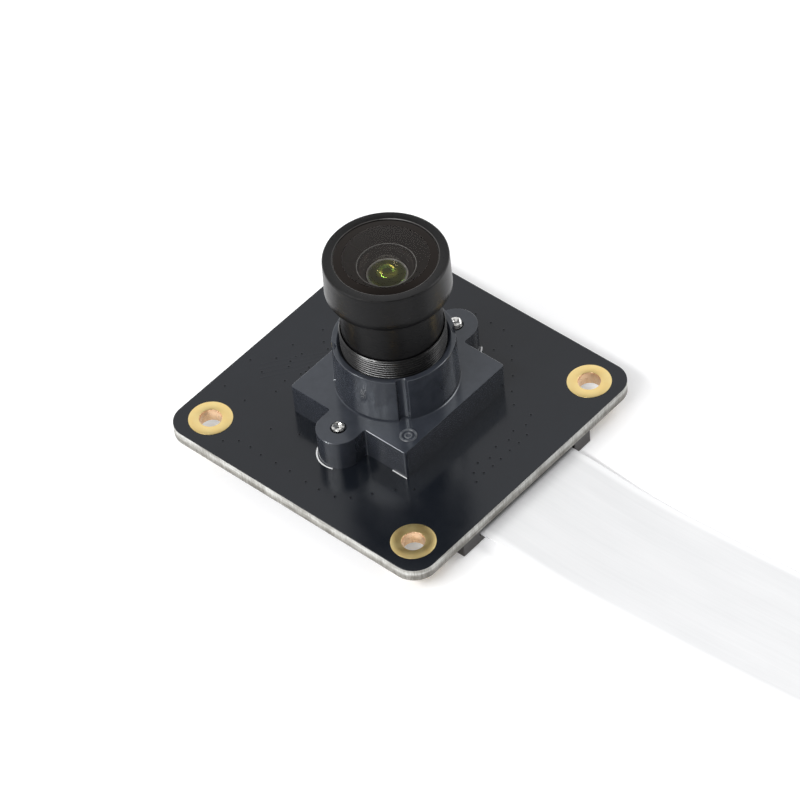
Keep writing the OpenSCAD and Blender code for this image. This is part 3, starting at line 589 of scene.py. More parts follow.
def make_ribbon_ends():
    """The stiffener film and the bare ways at both ends of the ribbon."""
    made = []

    def end(name, mats, node, slot, at=None):
        shape = Shape()
        shape.at = at
        made.append((shape, name, mats, node, slot))
        return shape
    lo, hi = low("ribbon_near_stiffener"), high("ribbon_near_stiffener")
    near = end("ribbon_near_stiffener_film", ["stiff_white"], "ribbon_near_stiffener", "ribbon_film")
    slab(near, rounded_rect((hi.x - lo.x) / 2, RIBBON_HALF, 0.15, 3, ((lo.x + hi.x) / 2, 0)),
         lo.z, hi.z + 0.03, bevel=0.02)
    lo, hi = low("ribbon_near_contacts"), high("ribbon_near_contacts")
    tips = end("ribbon_near_ways", ["tin"], "ribbon_near_contacts", "tinned")
    for k in range(WAYS):
        slab(tips, rounded_rect((hi.x - lo.x) / 2, 0.35, 0.08, 3, ((lo.x + hi.x) / 2, k - WAYS // 2)),
             lo.z - 0.02, hi.z, bevel=0.015)
    a, b = ROUTE[-2], ROUTE[-1]
    place = Matrix.Translation(b) @ Matrix.Rotation(atan2(b.y - a.y, b.x - a.x), 4, "Z")
    far = end("ribbon_far_stiffener_film", ["stiff_blue"], "ribbon_far_stiffener", "stiffener_film", place)
    slab(far, rounded_rect(3, RIBBON_HALF, 0.3, 4, (-3, 0)), -0.22, -0.07, bevel=0.02)
    tips = end("ribbon_far_ways", ["tin"], "ribbon_far_contacts", "tinned", place)
    for k in range(WAYS):
        slab(tips, rounded_rect(2, 0.35, 0.08, 3, (-2.05, k - WAYS // 2)), 0.08, 0.147, bevel=0.015)
    return [shape.make(name, mats, node=node, slot=slot) for shape, name, mats, node, slot in made]


ribbon, ribbon_path = make_ribbon()
ribbon_ends = make_ribbon_ends()


# ---- board

# Small plated holes under the mask, where the photograph shows them
VIAS_TOP = [
    (-1.95, 15.5), (0.35, 15.45), (2.26, 15.5), (4.62, 14.11), (3.39, 12.38), (6.04, 12.42), (7.74, 10.57),
    (9.2, 8.66), (10.72, 7.2), (13.23, 7.18), (13.76, 5.67), (13.24, 4.11), (13.72, 2.76), (13.25, 1.07),
    (13.8, -0.6), (13.22, -1.99), (13.84, -3.4), (14.83, 4.57), (14.9, 3.09), (14.83, 1.62), (14.86, 0.03),
    (14.84, -1.32), (14.72, -2.73), (14.95, -4.25), (-15.45, -0.95), (-12.93, 1.57), (-14.3, 2.95),
    (-11.8, 1.0), (-13.67, -1.38), (-13.9, -2.15), (-15.55, -3.65), (-17.73, -5.66), (-13.93, -3.05),
    (-13.48, -3.81), (-11.6, -2.48), (-11.4, -3.22), (-15.41, -6.27), (-11.65, -3.8), (-12.37, -5.72),
    (-11.24, -5.45), (-17.29, -10.46), (-10.4, -6.08), (-12.08, -7.55), (-13.95, -10.74), (-8.63, -12.21),
    (-5.5, -10.85), (-11.7, -16.86), (-10.26, -15.76), (-8.6, -15.65), (-6.85, -15.83), (-4.7, -15.71),
    (-2.64, -15.65), (-0.12, -15.79), (1.78, -15.75), (3.94, -15.5), (5.45, -14.53), (6.95, -12.63),
    (8.6, -10.6), (10.2, -9.3)]


def add_via(shape, x, y, side):
    """A tented via: a low ring with a dark pit in it, on the upper (1) or the under (-1) face."""
    z = TOP if side > 0 else 0.0
    ring = [(0.24, 0.0), (0.20, 0.006), (0.14, 0.007), (0.115, 0.003)]
    shape.turn([(r, z + side * h) for r, h in ring], 2, 16, (x, y))
    cap(shape, [circle(0.115, 16, (x, y))], z + side * 0.003, 3, up=side > 0)


def make_board():
    """The bare plate with its holes and vias."""
    holes = [circle(1.35, 48, (x * HOLE, y * HOLE)) for x in (-1, 1) for y in (-1, 1)]
    holes += [circle(0.9, 32, (0, y)) for y in (-EAR_Y, EAR_Y)]
    loop = rounded_rect(HALF, HALF, BOARD_R, 16)
    shape = Shape()
    # mask, laminate and mask again, seen at the edge: (height, inset, material below it)
    levels = [(0.0, 0.04, 0), (0.02, 0.0, 0), (0.05, 0.0, 0), (TOP - 0.05, 0.0, 1), (TOP - 0.02, 0.005, 0),
              (TOP, 0.035, 0)]
    for (za, ia, _), (zb, ib, mat) in zip(levels, levels[1:]):
        wall(shape, inset(loop, ia) if ia else loop, za, inset(loop, ib) if ib else loop, zb, mat)
    for h in holes:
        wall(shape, h, 0, h, TOP, 1)
    cap(shape, [inset(loop, 0.035)] + holes, TOP)
    cap(shape, [inset(loop, 0.04)] + holes, 0.0, up=False)
    for x, y in VIAS_TOP:
        add_via(shape, x, y, 1)
        add_via(shape, x, y, -1)
    shape.make("board_plate", ["mask", "laminate", "trace", "pit"], node="pcb",
               slot="solder_mask", smooth=30)


def make_traces():
    """Copper tracks that show through the mask as low bands."""
    shape = Shape()
    for k in range(4):
        d = k * 0.5
        points = [(-16.4 + d, -5.6 - d), (-14.2 + d, -2.6 - d), (-11.6 + d * 0.6, 0.6 - d * 0.6)]
        strip(shape, points, 0.16, TOP, 0.004)
    # short tracks from some of the vias on the underside
    rng = random.Random(4)
    for x, y in VIAS_TOP[24:52]:
        dx, dy = rng.choice([(1, 0), (0, 1), (0.7, 0.7), (-0.7, 0.7), (0, -1), (-1, 0)])
        r = rng.uniform(1.0, 2.6)
        end = (x + dx * r, y + dy * r)
        if max(abs(end[0]), abs(end[1])) < HALF - 0.8:
            strip(shape, [(x, y), end], 0.15, 0.0, -0.008)
    shape.make("board_tracks", ["trace"], slot="solder_mask", smooth=60, weld=False)


def make_ink():
    """White lines printed round the holder's foot; only short stretches show beside it."""
    shape = Shape()
    arc_band(shape, (-0.06, -EAR_Y), 2.68, 0.18, 196, 292, TOP, 0.012)
    arc_band(shape, (-0.03, EAR_Y + 0.10), 2.70, 0.2, -8, 42, TOP, 0.012)
    strip(shape, [(6.4, -8.58), (8.5, -8.58)], 0.14, TOP, 0.012)
    # guide lines on the underside
    for x0, y0, x1, y1 in ((-17.0, -8.2, -11.9, -8.2), (-17.0, 8.2, -11.9, 8.2), (3.4, 10.2, 3.4, 15.8),
                           (10.6, 10.2, 10.6, 15.8)):
        strip(shape, [(x0, y0), (x1, y1)], 0.15, 0.0, -0.012)
    shape.make("board_print", ["ink"], slot="solder_mask", smooth=60, weld=False)


def make_platings():
    """Gold rings on both faces, joined through each hole."""
    shape = Shape()
    ring = fillet([(1.3, -0.05), (2.55, -0.05), (2.55, 0.0), (1.4, 0.0), (1.4, TOP), (2.55, TOP),
                   (2.55, TOP + 0.05), (1.3, TOP + 0.05)], [0.03, 0.015, 0, 0, 0, 0, 0.015, 0.03], 3)
    n = len(ring)
    for x in (-1, 1):
        for y in (-1, 1):
            mats = [1 if ring[i][0] < 1.34 and ring[(i + 1) % n][0] < 1.34 else 0 for i in range(n)]
            shape.turn(ring, mats, centre=(x * HOLE, y * HOLE), closed=True)
    shape.make("mounting_hole_rings", ["gold", "copper"], node="hole_platings", slot="gold")


make_board()
make_traces()
make_ink()
make_platings()


# ---- lens holder

FLUTES = [radians(-42 + 90 * k) for k in range(4)]


def flute_cut(r, a, wide=0.7, deep=0.5):
    """The collar's radius at angle a, with the flutes cut in."""
    centre = r + wide - deep
    for f in FLUTES:
        d = (a - f + pi) % TAU - pi
        s = centre * sin(d)
        if abs(s) < wide and cos(d) > 0:
            r = min(r, centre * cos(d) - sqrt(wide * wide - s * s))
    return r


def collar_angles():
    """Angles round the collar, close together in the flutes; edge is half a flute's width."""
    out, edge, n = [], 0.0945, 28
    close = (0.17, 0.34, 0.52, 0.7, 0.85, 0.94, 0.99, 1.04)
    for f in FLUTES:
        out += [f + edge * t for t in (0, *close, *(-t for t in close))]
        out += [f + edge * 1.12 + (pi / 2 - 2.24 * edge) * k / n for k in range(n + 1)]
    return sorted(a % TAU for a in out)


def holder_outline():
    """The block with its two ears, anticlockwise from the +x side."""
    corner, square = 0.3, BLOCK_HALF - 0.3

    def bend(x, y, r, start, sweep, steps):
        return [polar(r, radians(start + sweep * k / steps), (x, y)) for k in range(steps + 1)]
    joint = [(EAR_R + 0.25, BLOCK_HALF), (EAR_R + 0.07, BLOCK_HALF + 0.07), (EAR_R, BLOCK_HALF + 0.25)]
    half = (bend(square, square, corner, 0, 90, 6) + joint + bend(0, EAR_Y, EAR_R, 0, 180, 32)
            + [(-x, y) for x, y in reversed(joint)] + bend(-square, square, corner, 90, 90, 6))
    return half + [(-x, -y) for x, y in half]


def rim_flash(r, z, a):
    """Uneven moulding flash along the collar's upper edges."""
    if z < COLLAR_Z - 0.12:
        return r, z
    n = mnoise.noise(Vector((cos(a) * 4.2, sin(a) * 4.2, 0.3)))
    m = mnoise.noise(Vector((cos(a) * 13, sin(a) * 13, 1.7)))
    left = exp(-((a - radians(197)) / 0.30) ** 2)
    grow = 0.022 * n + 0.020 * m + 0.06 * left * (0.6 + m)
    return r + (grow if r > 6.5 else -0.5 * grow), z + 0.5 * grow * (1 if z > COLLAR_Z - 0.05 else 0)


def make_holder():
    """The moulded block with its ears, its fluted collar and the moulded mark."""
    shape = Shape()
    outline, chamber, throat = holder_outline(), rounded_rect(7.2, 7.2, 0.8, 6), circle(6.6, 96)
    # the upper edge is a flat chamfer, wider on top than down the side
    drop, upper = 0.036, inset(outline, 0.048)
    wall(shape, outline, TOP, outline, BLOCK_Z - drop)
    wall(shape, outline, BLOCK_Z - drop, upper, BLOCK_Z)
    # each ear's screw hole is wider at its mouth
    ears, mouth, hole = (-EAR_Y, EAR_Y), 0.95, 0.76
    cap(shape, [upper, throat] + [circle(mouth, 32, (0, y)) for y in ears], BLOCK_Z)
    for y in ears:
        shape.turn([(mouth, BLOCK_Z), (0.90, BLOCK_Z - 0.06), (0.90, BLOCK_Z - 0.4), (hole, BLOCK_Z - 0.4),
                    (hole, TOP)], 0, 32, (0, y))
    cap(shape, [outline, chamber] + [circle(hole, 32, (0, y)) for y in ears], TOP, up=False)
    # inside: the sensor's chamber, the window over it and the filter's seat
    window, seat = rounded_rect(3.2, 3.2, 0.2, 4), rounded_rect(4.05, 4.05, 0.1, 4)
    wall(shape, chamber, TOP, chamber, CHAMBER_Z)
    cap(shape, [chamber, window], CHAMBER_Z, up=False)
    wall(shape, window, CHAMBER_Z, window, LEDGE_Z)
    cap(shape, [seat, window], LEDGE_Z)
    wall(shape, seat, LEDGE_Z, seat, SHELF_Z)
    cap(shape, [circle(BORE_R, 96), seat], SHELF_Z)
    # the collar, fluted outside, threaded inside
    angles = collar_angles()
    outer = [(7.25, BLOCK_Z - 0.01), (7.11, BLOCK_Z + 0.05), (7.04, BLOCK_Z + 0.2),
             (6.955, COLLAR_Z - 0.10), (6.93, COLLAR_Z - 0.04), (6.87, COLLAR_Z), (6.42, COLLAR_Z),
             (6.34, COLLAR_Z - 0.02), (6.28, COLLAR_Z - 0.06), (BORE_R, COLLAR_Z - PITCH)]
    verts = []
    for r, z in outer:
        for a in angles:
            rr = flute_cut(r, a) if r > 6.5 else r
            rr, zz = rim_flash(rr, z, a)
            verts.append((*polar(rr, a), zz))
    shape.add(verts, grid_faces(len(outer), len(angles)))
    inner, z = [], COLLAR_Z - PITCH
    while z > SHELF_Z + 0.2:
        inner += [(BORE_R, z), (BORE_R + 0.02, z - 0.03), (BORE_R + 0.12, z - 0.16),
                  (BORE_R + 0.12, z - 0.19), (BORE_R + 0.02, z - 0.32)]
        z -= PITCH
    shape.turn(inner + [(BORE_R, z), (BORE_R, SHELF_Z)])
    # the moulded mark: two plain raised rings, whose lighter colour is a painted highlight for the glints on
    # their edges
    for r0, r1, rise in ((0.72, 1.0, 0.11), (0.28, 0.46, 0.07)):
        foot, top = BLOCK_Z - 0.02, BLOCK_Z + rise
        ring = [(r0, foot), (r1, foot), (r1 - 0.01, top - 0.04), (r1 - 0.06, top), (r0 + 0.06, top),
                (r0 + 0.01, top - 0.04)]
        shape.turn(ring, 1, 48, (7.0, -6.2), closed=True)
    shape.make("holder_moulding", ["holder", "mark"], node="lens_holder", slot="holder_plastic",
               smooth=28)


make_holder()


# ---- holder screws

def make_screws():
    """Self-tapping screws from below; their broken tips stand up lumpy and aslant in the ears."""
    shape = Shape()
    for y, lift, lean, seed in ((-EAR_Y, 0.02, (0.10, -0.04), 11), (EAR_Y, 0.20, (-0.16, 0.10), 5)):
        top = BLOCK_Z + 0.27 + lift
        rows, z = [(0.0, -0.3)], 0.0
        while z < top - 0.35:
            rows += [(0.79, z), (0.70, z + 0.14), (0.70, z + 0.18)]
            z += 0.35
        rows += [(0.77, top - 0.3), (0.76, top - 0.14), (0.66, top - 0.03), (0.50, top), (0.36, top - 0.03),
                 (0.22, top - 0.07), (0.1, top - 0.09), (0.0, top - 0.1)]
        verts, faces = lathe(rows, 40, (0, y), False)
        rng = random.Random(seed)
        lumps = [(rng.uniform(0, TAU), rng.uniform(0.1, 0.6), rng.uniform(0.12, 0.28), rng.uniform(-0.16, 0.13))
                 for _ in range(12)]
        out = []
        for vx, vy, vz in verts:
            if vz > top - 0.34:
                dx, dy, rise = vx, vy - y, vz - top + 0.34
                for a, d, w, h in lumps:
                    vz += h * exp(-((dx - d * cos(a)) ** 2 + (dy - d * sin(a)) ** 2) / (w * w))
                vx, vy = vx + lean[0] * rise, vy + lean[1] * rise
            out.append((vx, vy, vz))
        shape.add(out, faces)
        # the pan head under the board, with its cross recess
        bottom, depth = -1.0, -0.45
        head = fillet([(0.0, 0.0), (1.5, 0.0), (1.5, -0.45), (1.05, bottom), (0.0, bottom)],
                      [0, 0.03, 0.25, 0.3, 0], 5)
        head = [p for p in head if p[0] > 0.01]
        shape.turn(head, 0, 48, (0, y))
        cross = []
        for k in range(4):
            c, s = round(cos(k * pi / 2)), round(sin(k * pi / 2))
            for px, py in ((0.16, -0.16), (0.72, -0.14), (0.72, 0.14)):
                cross.append((px * c - py * s, y + px * s + py * c))
        rim = circle(max(p[0] for p in head if abs(p[1] - bottom) < 1e-6), 48, (0, y))
        cap(shape, [rim, cross], bottom, up=False)
        inner = [(x * 0.8, y + (yy - y) * 0.8) for x, yy in cross]
        wall(shape, inner, depth, cross, bottom)
        cap(shape, [inner], depth, up=False)
    shape.make("holder_screw_pair", ["steel"], node="holder_screws", slot="screw_steel", smooth=40)


make_screws()


# ---- lens barrel

def helix(z0, z1, crest, root, pitch, segs=120):
    """A right-hand thread as one surface, whose rows of points climb by one pitch a turn."""
    form = [(0.0, crest), (0.30, crest), (0.42, crest - 0.045), (0.54, root), (0.62, root), (0.97, crest)]
    turns = int(ceil((z1 - z0) / pitch)) + 1
    verts, rows = [], 0
    for k in range(-1, turns):
        for at, r in form:
            for i in range(segs + 1):
                z = min(max(z0 + (k + at) * pitch + pitch * i / segs, z0), z1)
                end = min(1.0, max(0.0, (z1 - z) / (0.3 * pitch)))
                rr = root - 0.02 + (r - root + 0.02) * end
                a = TAU * i / segs + 0.013
                verts.append((*polar(rr, a), z))
            rows += 1
    return verts, grid_faces(rows, segs + 1, closed_cols=False)


def make_barrel():
    """The lens's metal body: hood, neck, thread and the bore for the glasses."""
    shape = Shape()
    front = [(NECK_R, NECK_Z - 0.14), (NECK_R, HOOD_Z - 0.05), (5.76, HOOD_Z), (6.74, HOOD_Z),
             (6.90, HOOD_Z + 0.03), (7.03, HOOD_Z + 0.13), (7.1, HOOD_Z + 0.30), (7.075, HOOD_Z + 1.2),
             (7.02, RIM_Z - 0.30), (7.0, RIM_Z - 0.13), (6.96, RIM_Z - 0.05), (6.88, RIM_Z),
             (5.98, RIM_Z), (5.95, RIM_Z - 0.012),
             (5.88, RIM_Z - 0.09), (5.87, RIM_Z - 0.13), (5.86, RIM_Z - 0.46), (5.90, RIM_Z - 0.5),
             (6.3, RIM_Z - 0.5), (6.3, SEAT_Z), (THROAT_R, SEAT_Z)]
    # neck and hood, the rim's face and its turned edge (lighter copies of the finish, as painted light), the
    # lip, and the blackened pocket
    shape.turn(front, [0] * 9 + [4] * 4 + [3] + [0] * 3 + [1] * 3, 180)
    shape.add(*helix(REAR_Z + 0.3, NECK_Z - 0.02, THREAD_R, ROOT_R, PITCH), 2)
    inner = [(5.72, REAR_Z + 0.32), (5.58, REAR_Z), (STACK_R, REAR_Z), (STACK_R, STEP_Z), (THROAT_R, STEP_Z),
             (THROAT_R, SEAT_Z)]
    shape.turn(inner, [0] * 2 + [1] * 3)
    shape.make("lens_body", ["barrel", "paint", "thread", "turned", "rim"], "barrel", node="lens_barrel",
               slot="black_anodised", smooth=24)
    # the fine parting line down the neck
    seam, a, rows = Shape(), radians(-41.5), []
    for k in range(30):
        z = NECK_Z + 0.02 + (HOOD_Z - NECK_Z - 0.1) * k / 29
        for da, dr in ((-0.010, -0.004), (-0.004, 0.007), (0.004, 0.007), (0.010, -0.004)):
            rows.append((*polar(NECK_R + dr, a + da), z))
    seam.add(rows, grid_faces(30, 4, closed_cols=False))
    seam.make("neck_parting_line", ["barrel"], "barrel", slot="black_anodised", smooth=60, weld=False)


make_barrel()


# ---- glass

def cap_profile(r, z, curve, up, steps):
    """Points of a spherical cap from its edge (r, z) to the axis."""
    s = sqrt(curve * curve - r * r)
    return [(r * (1 - k / steps), z + up * (sqrt(curve ** 2 - (r * (1 - k / steps)) ** 2) - s))
            for k in range(steps + 1)]


def make_optics():
    """The glasses and the ring between them, without those that stay as the CAD has them."""
    # the front glass: a hollow behind, a flat seat, a ground edge under the lip, and a low dome
    front_r, apex, curve = 6.25, RIM_Z + 0.18, 52.0
    face_r, window_r, shoulder = 5.80, 4.9, SEAT_Z + 1.68
    hollow = list(reversed(cap_profile(3.2, SEAT_Z, 3.9, 1, 24)))
    face_z = apex - curve + sqrt(curve ** 2 - face_r ** 2)
    outer = [(3.25, SEAT_Z), (6.2, SEAT_Z), (front_r, SEAT_Z + 0.05), (front_r, shoulder), (5.84, shoulder),
             (5.84, face_z - 0.06)]
    dome = cap_profile(face_r, face_z, curve, 1, 30)
    mats = ([2] * (len(hollow) - 1) + [0] * len(outer) + [3]
            + [1 if r > window_r else 0 for r, _ in dome[:-1]])
    shape = Shape()
    shape.turn(hollow + outer + dome, mats)
    glass = shape.make("front_glass", ["front_glass", "dark_glass", "hollow_glass", "ground"], "optics",
                       node="front_element", slot="front_glass", smooth=30)
    # glasses cast no shadow, so that the lamps reach what lies below without noise
    glass.visible_shadow = False
    # its blackened back and the ground edge of its hollow
    back = Shape()
    back.turn([(6.28, SEAT_Z + 1.3), (6.28, SEAT_Z), (3.26, SEAT_Z)])
    back.turn([(3.26, SEAT_Z + 0.004), (3.20, SEAT_Z + 0.004)], 2)
    # the bright edge of the bore over the second element
    edge = [(3.28, STEP_Z + 0.05), (2.95, STEP_Z + 0.05), (2.78, STEP_Z + 0.15), (2.66, STEP_Z)]
    back.turn(edge, [0, 1, 2])
    back.make("front_glass_blacking", ["paint", "ground", "seat"], "optics", slot="blackened_ring", smooth=30)

    def element(name, node, seats, top, bottom, coats):
        """A lens between its seats' heights; a face is (radius, curve, 1 or -1), 1 humped upwards."""
        (tr, tc, tu), (br, bc, bu), (bz, tz) = top, bottom, seats
        below = list(reversed(cap_profile(br, bz, bc, bu, 16))) if bc else [(0.0, bz)]
        above = cap_profile(tr, tz, tc, tu, 18) if tc else [(0.0, tz)]
        profile = below + [(GLASS_R, bz), (GLASS_R, tz)] + above
        mats = [0 if k < len(below) - 1 else 1 for k in range(len(profile) - 1)]
        shape = Shape()
        shape.turn(profile, mats)
        made = shape.make(name, coats, "optics", node=node, slot="lens_glass", smooth=30)
        made.visible_shadow = False
    # the second element's underside is opaque, and its colour is a painted olive reflection
    element("second_glass", "second_element", (20.3, STEP_Z), (2.6, 3.2, 1), (2.58, 3.9, -1),
            ["coat_with_painted_olive_reflection", "second_glass"])
    element("third_glass", "third_element", (15.6, 17.4), (2.2, 2.5, 1), (2.2, 0, -1),
            ["green_glass", "green_glass"])
    element("fourth_glass", "fourth_element", (13.8, 15.4), (2.4, 0, 1), (2.75, 6.0, -1),
            ["amber_glass", "green_glass"])
    element("rear_glass", "rear_element", (9.9, 10.9), (2.85, 7.0, 1), (2.85, 9.0, -1),
            ["green_glass", "green_glass"])
    # stepped black ring between the second and third elements, with bright turned edges
    shape = Shape()
    z0, z1 = low("front_spacer").z, high("front_spacer").z
    steps = [(GLASS_R, z0), (GLASS_R, z1), (2.55, z1), (2.50, z1 - 0.04), (2.50, z1 - 0.5),
             (2.14, z1 - 0.5), (2.09, z1 - 0.55), (2.09, z1 - 0.9), (2.95, z0 + 0.4), (2.95, z0)]
    shape.turn(steps, [0, 0, 1, 0, 0, 1, 0, 0, 0, 0], closed=True)
    shape.make("front_spacer_ring", ["paint", "ground"], "optics", node="front_spacer",
               slot="blackened_ring", smooth=25)


make_optics()


# ---- connector

def make_connector():
    """The ribbon's connector and the latch that slides out of it."""
    lo, hi = low("connector_housing"), high("connector_housing")
    shape = Shape()
    top_slot, floor_slot = -0.91, -1.80
    # walls round the ribbon's slot
    block(shape, (lo.x, lo.y, lo.z), (hi.x, hi.y, floor_slot - 0.001), 0, 0.06)
    block(shape, (lo.x + 0.02, lo.y + 0.02, floor_slot), (lo.x + 1.2, hi.y - 0.02, top_slot), 0, 0.03)
    for s in (-1, 1):
        block(shape, (lo.x + 1.2, s * 8.1, floor_slot - 0.05), (hi.x - 0.02, s * 9.35, top_slot + 0.05),
              0, 0.03)
        block(shape, (lo.x, s * 9.3, floor_slot - 0.05), (lo.x + 1.25, s * hi.y, 0.0), 0, 0.05)
        block(shape, (lo.x + 1.2, s * 9.3, -0.62), (hi.x, s * (hi.y - 0.02), 0.0), 0, 0.04)
    # ribs between the contacts
    end = 9.4
    edges = [-end] + [k - WAYS // 2 + s * 0.2 for k in range(WAYS) for s in (-1, 1)] + [end]
    for a, b in zip(edges[::2], edges[1::2]):
        block(shape, (lo.x, a, top_slot), (hi.x - 0.5, b, -0.001), 0, 0.03)
    block(shape, (hi.x - 0.5, -end, top_slot), (hi.x, end, -0.001), 0, 0.04)
    shape.make("connector_body", ["housing"], node="connector_housing",
               slot="connector_plastic", smooth=40)

    lo, hi = low("connector_latch"), high("connector_latch")
    bar = hi.x - 1.15
    shape = Shape()
    block(shape, (bar + 0.02, -8.3, lo.z + 0.01), (hi.x - 0.02, 8.3, -1.37), 0, 0.08, 3)
    for s in (-1, 1):
        block(shape, (bar, s * 8.2, lo.z), (hi.x, s * hi.y, -0.15), 0, 0.09, 3)
        block(shape, (lo.x, s * 9.4, -1.9), (bar + 0.1, s * 10.3, -0.7), 0, 0.06)
        # grip ribs on the wings' outer ends
        for k in range(3):
            x = bar + 0.25 + 0.28 * k
            block(shape, (x, s * (hi.y - 0.02), lo.z + 0.2), (x + 0.13, s * (hi.y + 0.03), -0.35),
                  0, 0.02, 1)
    block(shape, (14.7, -8.05, -1.75), (bar + 0.1, 8.05, -1.37), 0, 0.04)
    shape.make("latch_moulding", ["latch"], "latch", node="connector_latch", slot="latch_plastic", smooth=40)


make_connector()


# ---- parts under the board

def solder_wedge(shape, x0, x1, half, h):
    """A concave solder fillet that runs out from x0 to x1 on the board's underside."""
    rows = []
    for k in range(6):
        t = k / 5
        x, z = x0 + (x1 - x0) * t, -h * (1 - t) ** 2 - 0.01
        w = half * (1 - 0.15 * t * t)
        rows += [(x, -w, 0.0), (x, -w, z), (x, w, z), (x, w, 0.0)]
    shape.add(rows, grid_faces(6, 4, closed_cols=False), 2)


def chip_part(shape, x, y, size, turned, film=False):
    """A body with two metal ends, soldered down. Materials: 0 body, 1 tin, 2 solder, 3 film."""
    length, width, height = size
    shape.at = Matrix.Translation((x, y, 0)) @ Matrix.Rotation(pi / 2 if turned else 0, 4, "Z")
    block(shape, (-length / 2 + 0.1, -width / 2 + 0.03, -height + 0.03),
          (length / 2 - 0.1, width / 2 - 0.03, -0.02), 0, 0.03, 2)
    if film:
        block(shape, (-length * 0.27, -width / 2 + 0.04, -height + 0.012),
              (length * 0.27, width / 2 - 0.04, -height + 0.05), 3, 0.01, 1)
    for s in (-1, 1):
        block(shape, (s * length * 0.28, -width / 2, -height), (s * length / 2, width / 2, -0.01),
              1, 0.05, 3)
        solder_wedge(shape, s * (length / 2 - 0.02), s * (length / 2 + 0.28), width / 2 * 0.95,
                     height * 0.55)
        px0, px1 = sorted((s * length * 0.22, s * (length / 2 + 0.32)))
        slab(shape, rounded_rect((px1 - px0) / 2, width / 2 + 0.07, 0.05, 2, ((px0 + px1) / 2, 0)), -0.03, 0.0,
             bevel=0.01, steps=1, mat=2)
    shape.at = None


def leaded_chip(shape, x, y, size, count, step):
    """A moulded body with a row of bent leads along each side. Materials: 0 resin, 1 tin, 2 solder."""
    length, width, height = size
    shape.at = Matrix.Translation((x, y, 0)) @ Matrix.Rotation(pi / 2, 4, "Z")
    block(shape, (-length / 2, -width / 2, -height), (length / 2, width / 2, -0.1), 0, 0.06, 3, draft=0.96)
    for s in (-1, 1):
        for k in range(count):
            cx = (k - (count - 1) / 2) * step
            path = [(width / 2 - 0.1, -0.52), (width / 2 + 0.10, -0.52), (width / 2 + 0.20, -0.46),
                    (width / 2 + 0.24, -0.16), (width / 2 + 0.33, -0.08), (width / 2 + 0.7, -0.08)]
            rows = []
            for i, (yy, zz) in enumerate(path):
                a, b = path[max(i - 1, 0)], path[min(i + 1, len(path) - 1)]
                d = Vector((b[0] - a[0], b[1] - a[1])).normalized()
                n = Vector((-d.y, d.x)) * 0.07
                for w, q in ((-0.2, -1), (0.2, -1), (0.2, 1), (-0.2, 1)):
                    rows.append((cx + w, s * (yy + n.x * q), min(zz + n.y * q, -0.005)))
            last = 4 * len(path) - 4
            ends = [(0, 1, 2, 3), (last + 3, last + 2, last + 1, last)]
            shape.add(rows, grid_faces(len(path), 4) + ends, 1)
            slab(shape, rounded_rect(0.27, 0.34, 0.06, 2, (cx, s * (width / 2 + 0.62))), -0.05, 0.0, bevel=0.03,
                 steps=2, mat=2)
    shape.at = None


def make_underside():
    """The parts under the board that no photograph shows: plain and few."""
    small, large = (1.0, 0.5, 0.5), (1.6, 0.8, 0.8)

    def group(name, node, slot, mats, add, places):
        """One piece of like parts; add puts one at each place."""
        shape = Shape()
        for place in places:
            add(shape, *place)
        shape.make(name, mats, node=node, slot=slot, smooth=40)
    group("regulator_set", "regulators", "chip_resin", ["resin", "tin", "solder"], leaded_chip,
          [(-14.5, 6.0 * k, (2.9, 1.6, 1.1), 3, 0.95) for k in (-1, 0, 1)])
    group("memory_chip_body", "memory_chip", "chip_resin", ["resin", "tin", "solder"], leaded_chip,
          [(7.0, 13.0, (3.0, 4.4, 1.0), 4, 0.65)])
    group("capacitor_set", "capacitors", "ceramic_tan", ["ceramic", "tin", "solder"], chip_part,
          [(2.0 * k, 3.4 * s, small, True) for k in range(-3, 4) for s in (-1, 1)]
          + [(-10.6, 2.85 * k, large, True) for k in (-3, -1, 1, 3)])
    group("resistor_set", "resistors", "chip_resin", ["alumina", "tin", "solder", "film"], chip_part,
          [(2.0 * (k + 0.5), 0.0, small, True, True) for k in range(-3, 3)]
          + [(9.6, 2.5 * k, small, False, True) for k in range(-2, 3)])
    group("ferrite_bead_pair", "ferrite_beads", "ferrite", ["ferrite", "tin", "solder"], chip_part,
          [(-11.4, 11.6 * s, large, False) for s in (-1, 1)])
    # the clock's can on its four pads
    shape = Shape()
    shape.at = Matrix.Translation((7.0, -13.0, 0))
    block(shape, (-1.6, -1.25, -0.6), (1.6, 1.25, -0.02), 0, 0.05, 2)
    slab(shape, rounded_rect(1.4, 1.05, 0.25, 5), -0.9, -0.58, bevel=0.06, steps=3, mat=1)
    for sx in (-1, 1):
        for sy in (-1, 1):
            slab(shape, rounded_rect(0.5, 0.42, 0.08, 2, (sx * 1.25, sy * 0.95)), -0.04, 0.0, bevel=0.02,
                 steps=1, mat=2)
    shape.make("oscillator_can", ["package", "lid", "solder"], node="oscillator",
               slot="oscillator_metal", smooth=40)


make_underside()
for node, mat in (("fifth_element", "plain_glass"), ("rear_spacer", "paint"), ("aperture_stop", "paint"),
                  ("retaining_ring", "barrel"), ("ir_filter", "plain_glass"), ("sensor_package", "package"),
                  ("sensor_die", "silicon"), ("sensor_glass", "plain_glass"), ("connector_contacts", "contact"),
                  ("connector_tabs", "tin")):
    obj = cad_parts[node]
    obj.data.materials.clear()
    obj.data.materials.append(MAT[mat])


# ---- floor, world and lights

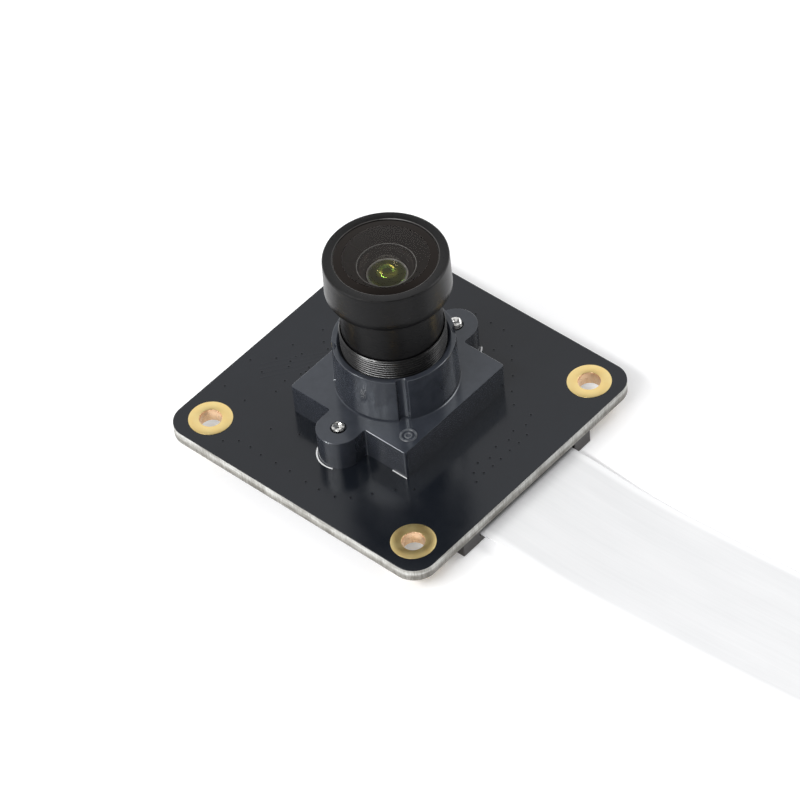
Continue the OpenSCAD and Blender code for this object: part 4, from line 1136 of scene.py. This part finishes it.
def make_stage():
    """The plain floor: pale, faintly glowing, and clear from below."""
    mesh = bpy.data.meshes.new("floor")
    r = 1.6
    mesh.from_pydata([(-r, -r, 0), (r, -r, 0), (r, r, 0), (-r, r, 0)], [], [(0, 1, 2, 3)])
    floor = bpy.data.objects.new("floor", mesh)
    floor.location = (0.03, 0, FLOOR_Z * MM - 0.00002)
    bpy.context.scene.collection.objects.link(floor)
    m, tree = new_material("floor")
    pale = tree.add("BsdfDiffuse", {"Color": (0.80, 0.80, 0.805, 1)})
    lit = tree.add("AddShader", {0: pale, 1: tree.add("Emission", {"Strength": 0.30})})
    below, clear = tree.add("NewGeometry", {}, "Backfacing"), tree.add("BsdfTransparent", {})
    tree.add("OutputMaterial", {"Surface": tree.add("MixShader", {0: below, 1: lit, 2: clear})})
    m.cycles.emission_sampling = "NONE"
    mesh.materials.append(m)


def make_world():
    """A white sweep behind the object, that turns dark overhead and in front."""
    world = bpy.data.worlds.new("studio")
    bpy.context.scene.world = world
    tree = Tree(world)
    way = tree.add("TexCoord", {}, "Generated")
    behind = tree.add("VectorMath", {0: way, 1: (-0.74, 0.67, 0)}, "Value", operation="DOT_PRODUCT")
    upward = tree.add("SeparateXYZ", {"Vector": way}, "Z")
    back = span_map(tree, behind, 0.0, 1.0, -0.35, 0.42, "SMOOTHSTEP")
    overhead = span_map(tree, upward, 1.0, 0.15, 0.755, 0.90, "SMOOTHSTEP")
    sweep = tree.add("Math", {0: back, 1: overhead}, operation="MULTIPLY")
    level = span_map(tree, sweep, 0.11, 0.94, 0.0, 1.0, "SMOOTHSTEP")
    fill = tree.add("Background", {"Color": (0.98, 0.985, 1.0, 1), "Strength": level})
    white = tree.add("Background", {"Color": (1, 1, 1, 1), "Strength": 1.0})
    seen = tree.add("LightPath", {}, "Is Camera Ray")
    tree.add("OutputWorld", {"Surface": tree.add("MixShader", {0: seen, 1: fill, 2: white})})


def lamp(name, azimuth, elevation, distance, size, size_y, power):
    """A soft lamp that faces the object; angles in degrees, lengths in metres."""
    data = bpy.data.lights.new(name, "AREA")
    data.shape = "RECTANGLE"
    data.size, data.size_y = size, size_y
    data.energy = power
    obj = bpy.data.objects.new(name, data)
    bpy.context.scene.collection.objects.link(obj)
    place = heading(azimuth, elevation) * distance
    obj.location = place
    obj.rotation_mode = "QUATERNION"
    obj.rotation_quaternion = (-place).to_track_quat("-Z", "Y")


make_stage()
make_world()
# the key light is an arc of lamps at one height, so that its mirror image is an even band
for azimuth in (-65.7, -83.1, -100.5, -117.9):
    lamp("key", azimuth, 46.5, 0.8, 0.27, 0.11, 1.5)
lamp("fill", 64, 51, 0.9, 0.42, 0.30, 1.8)
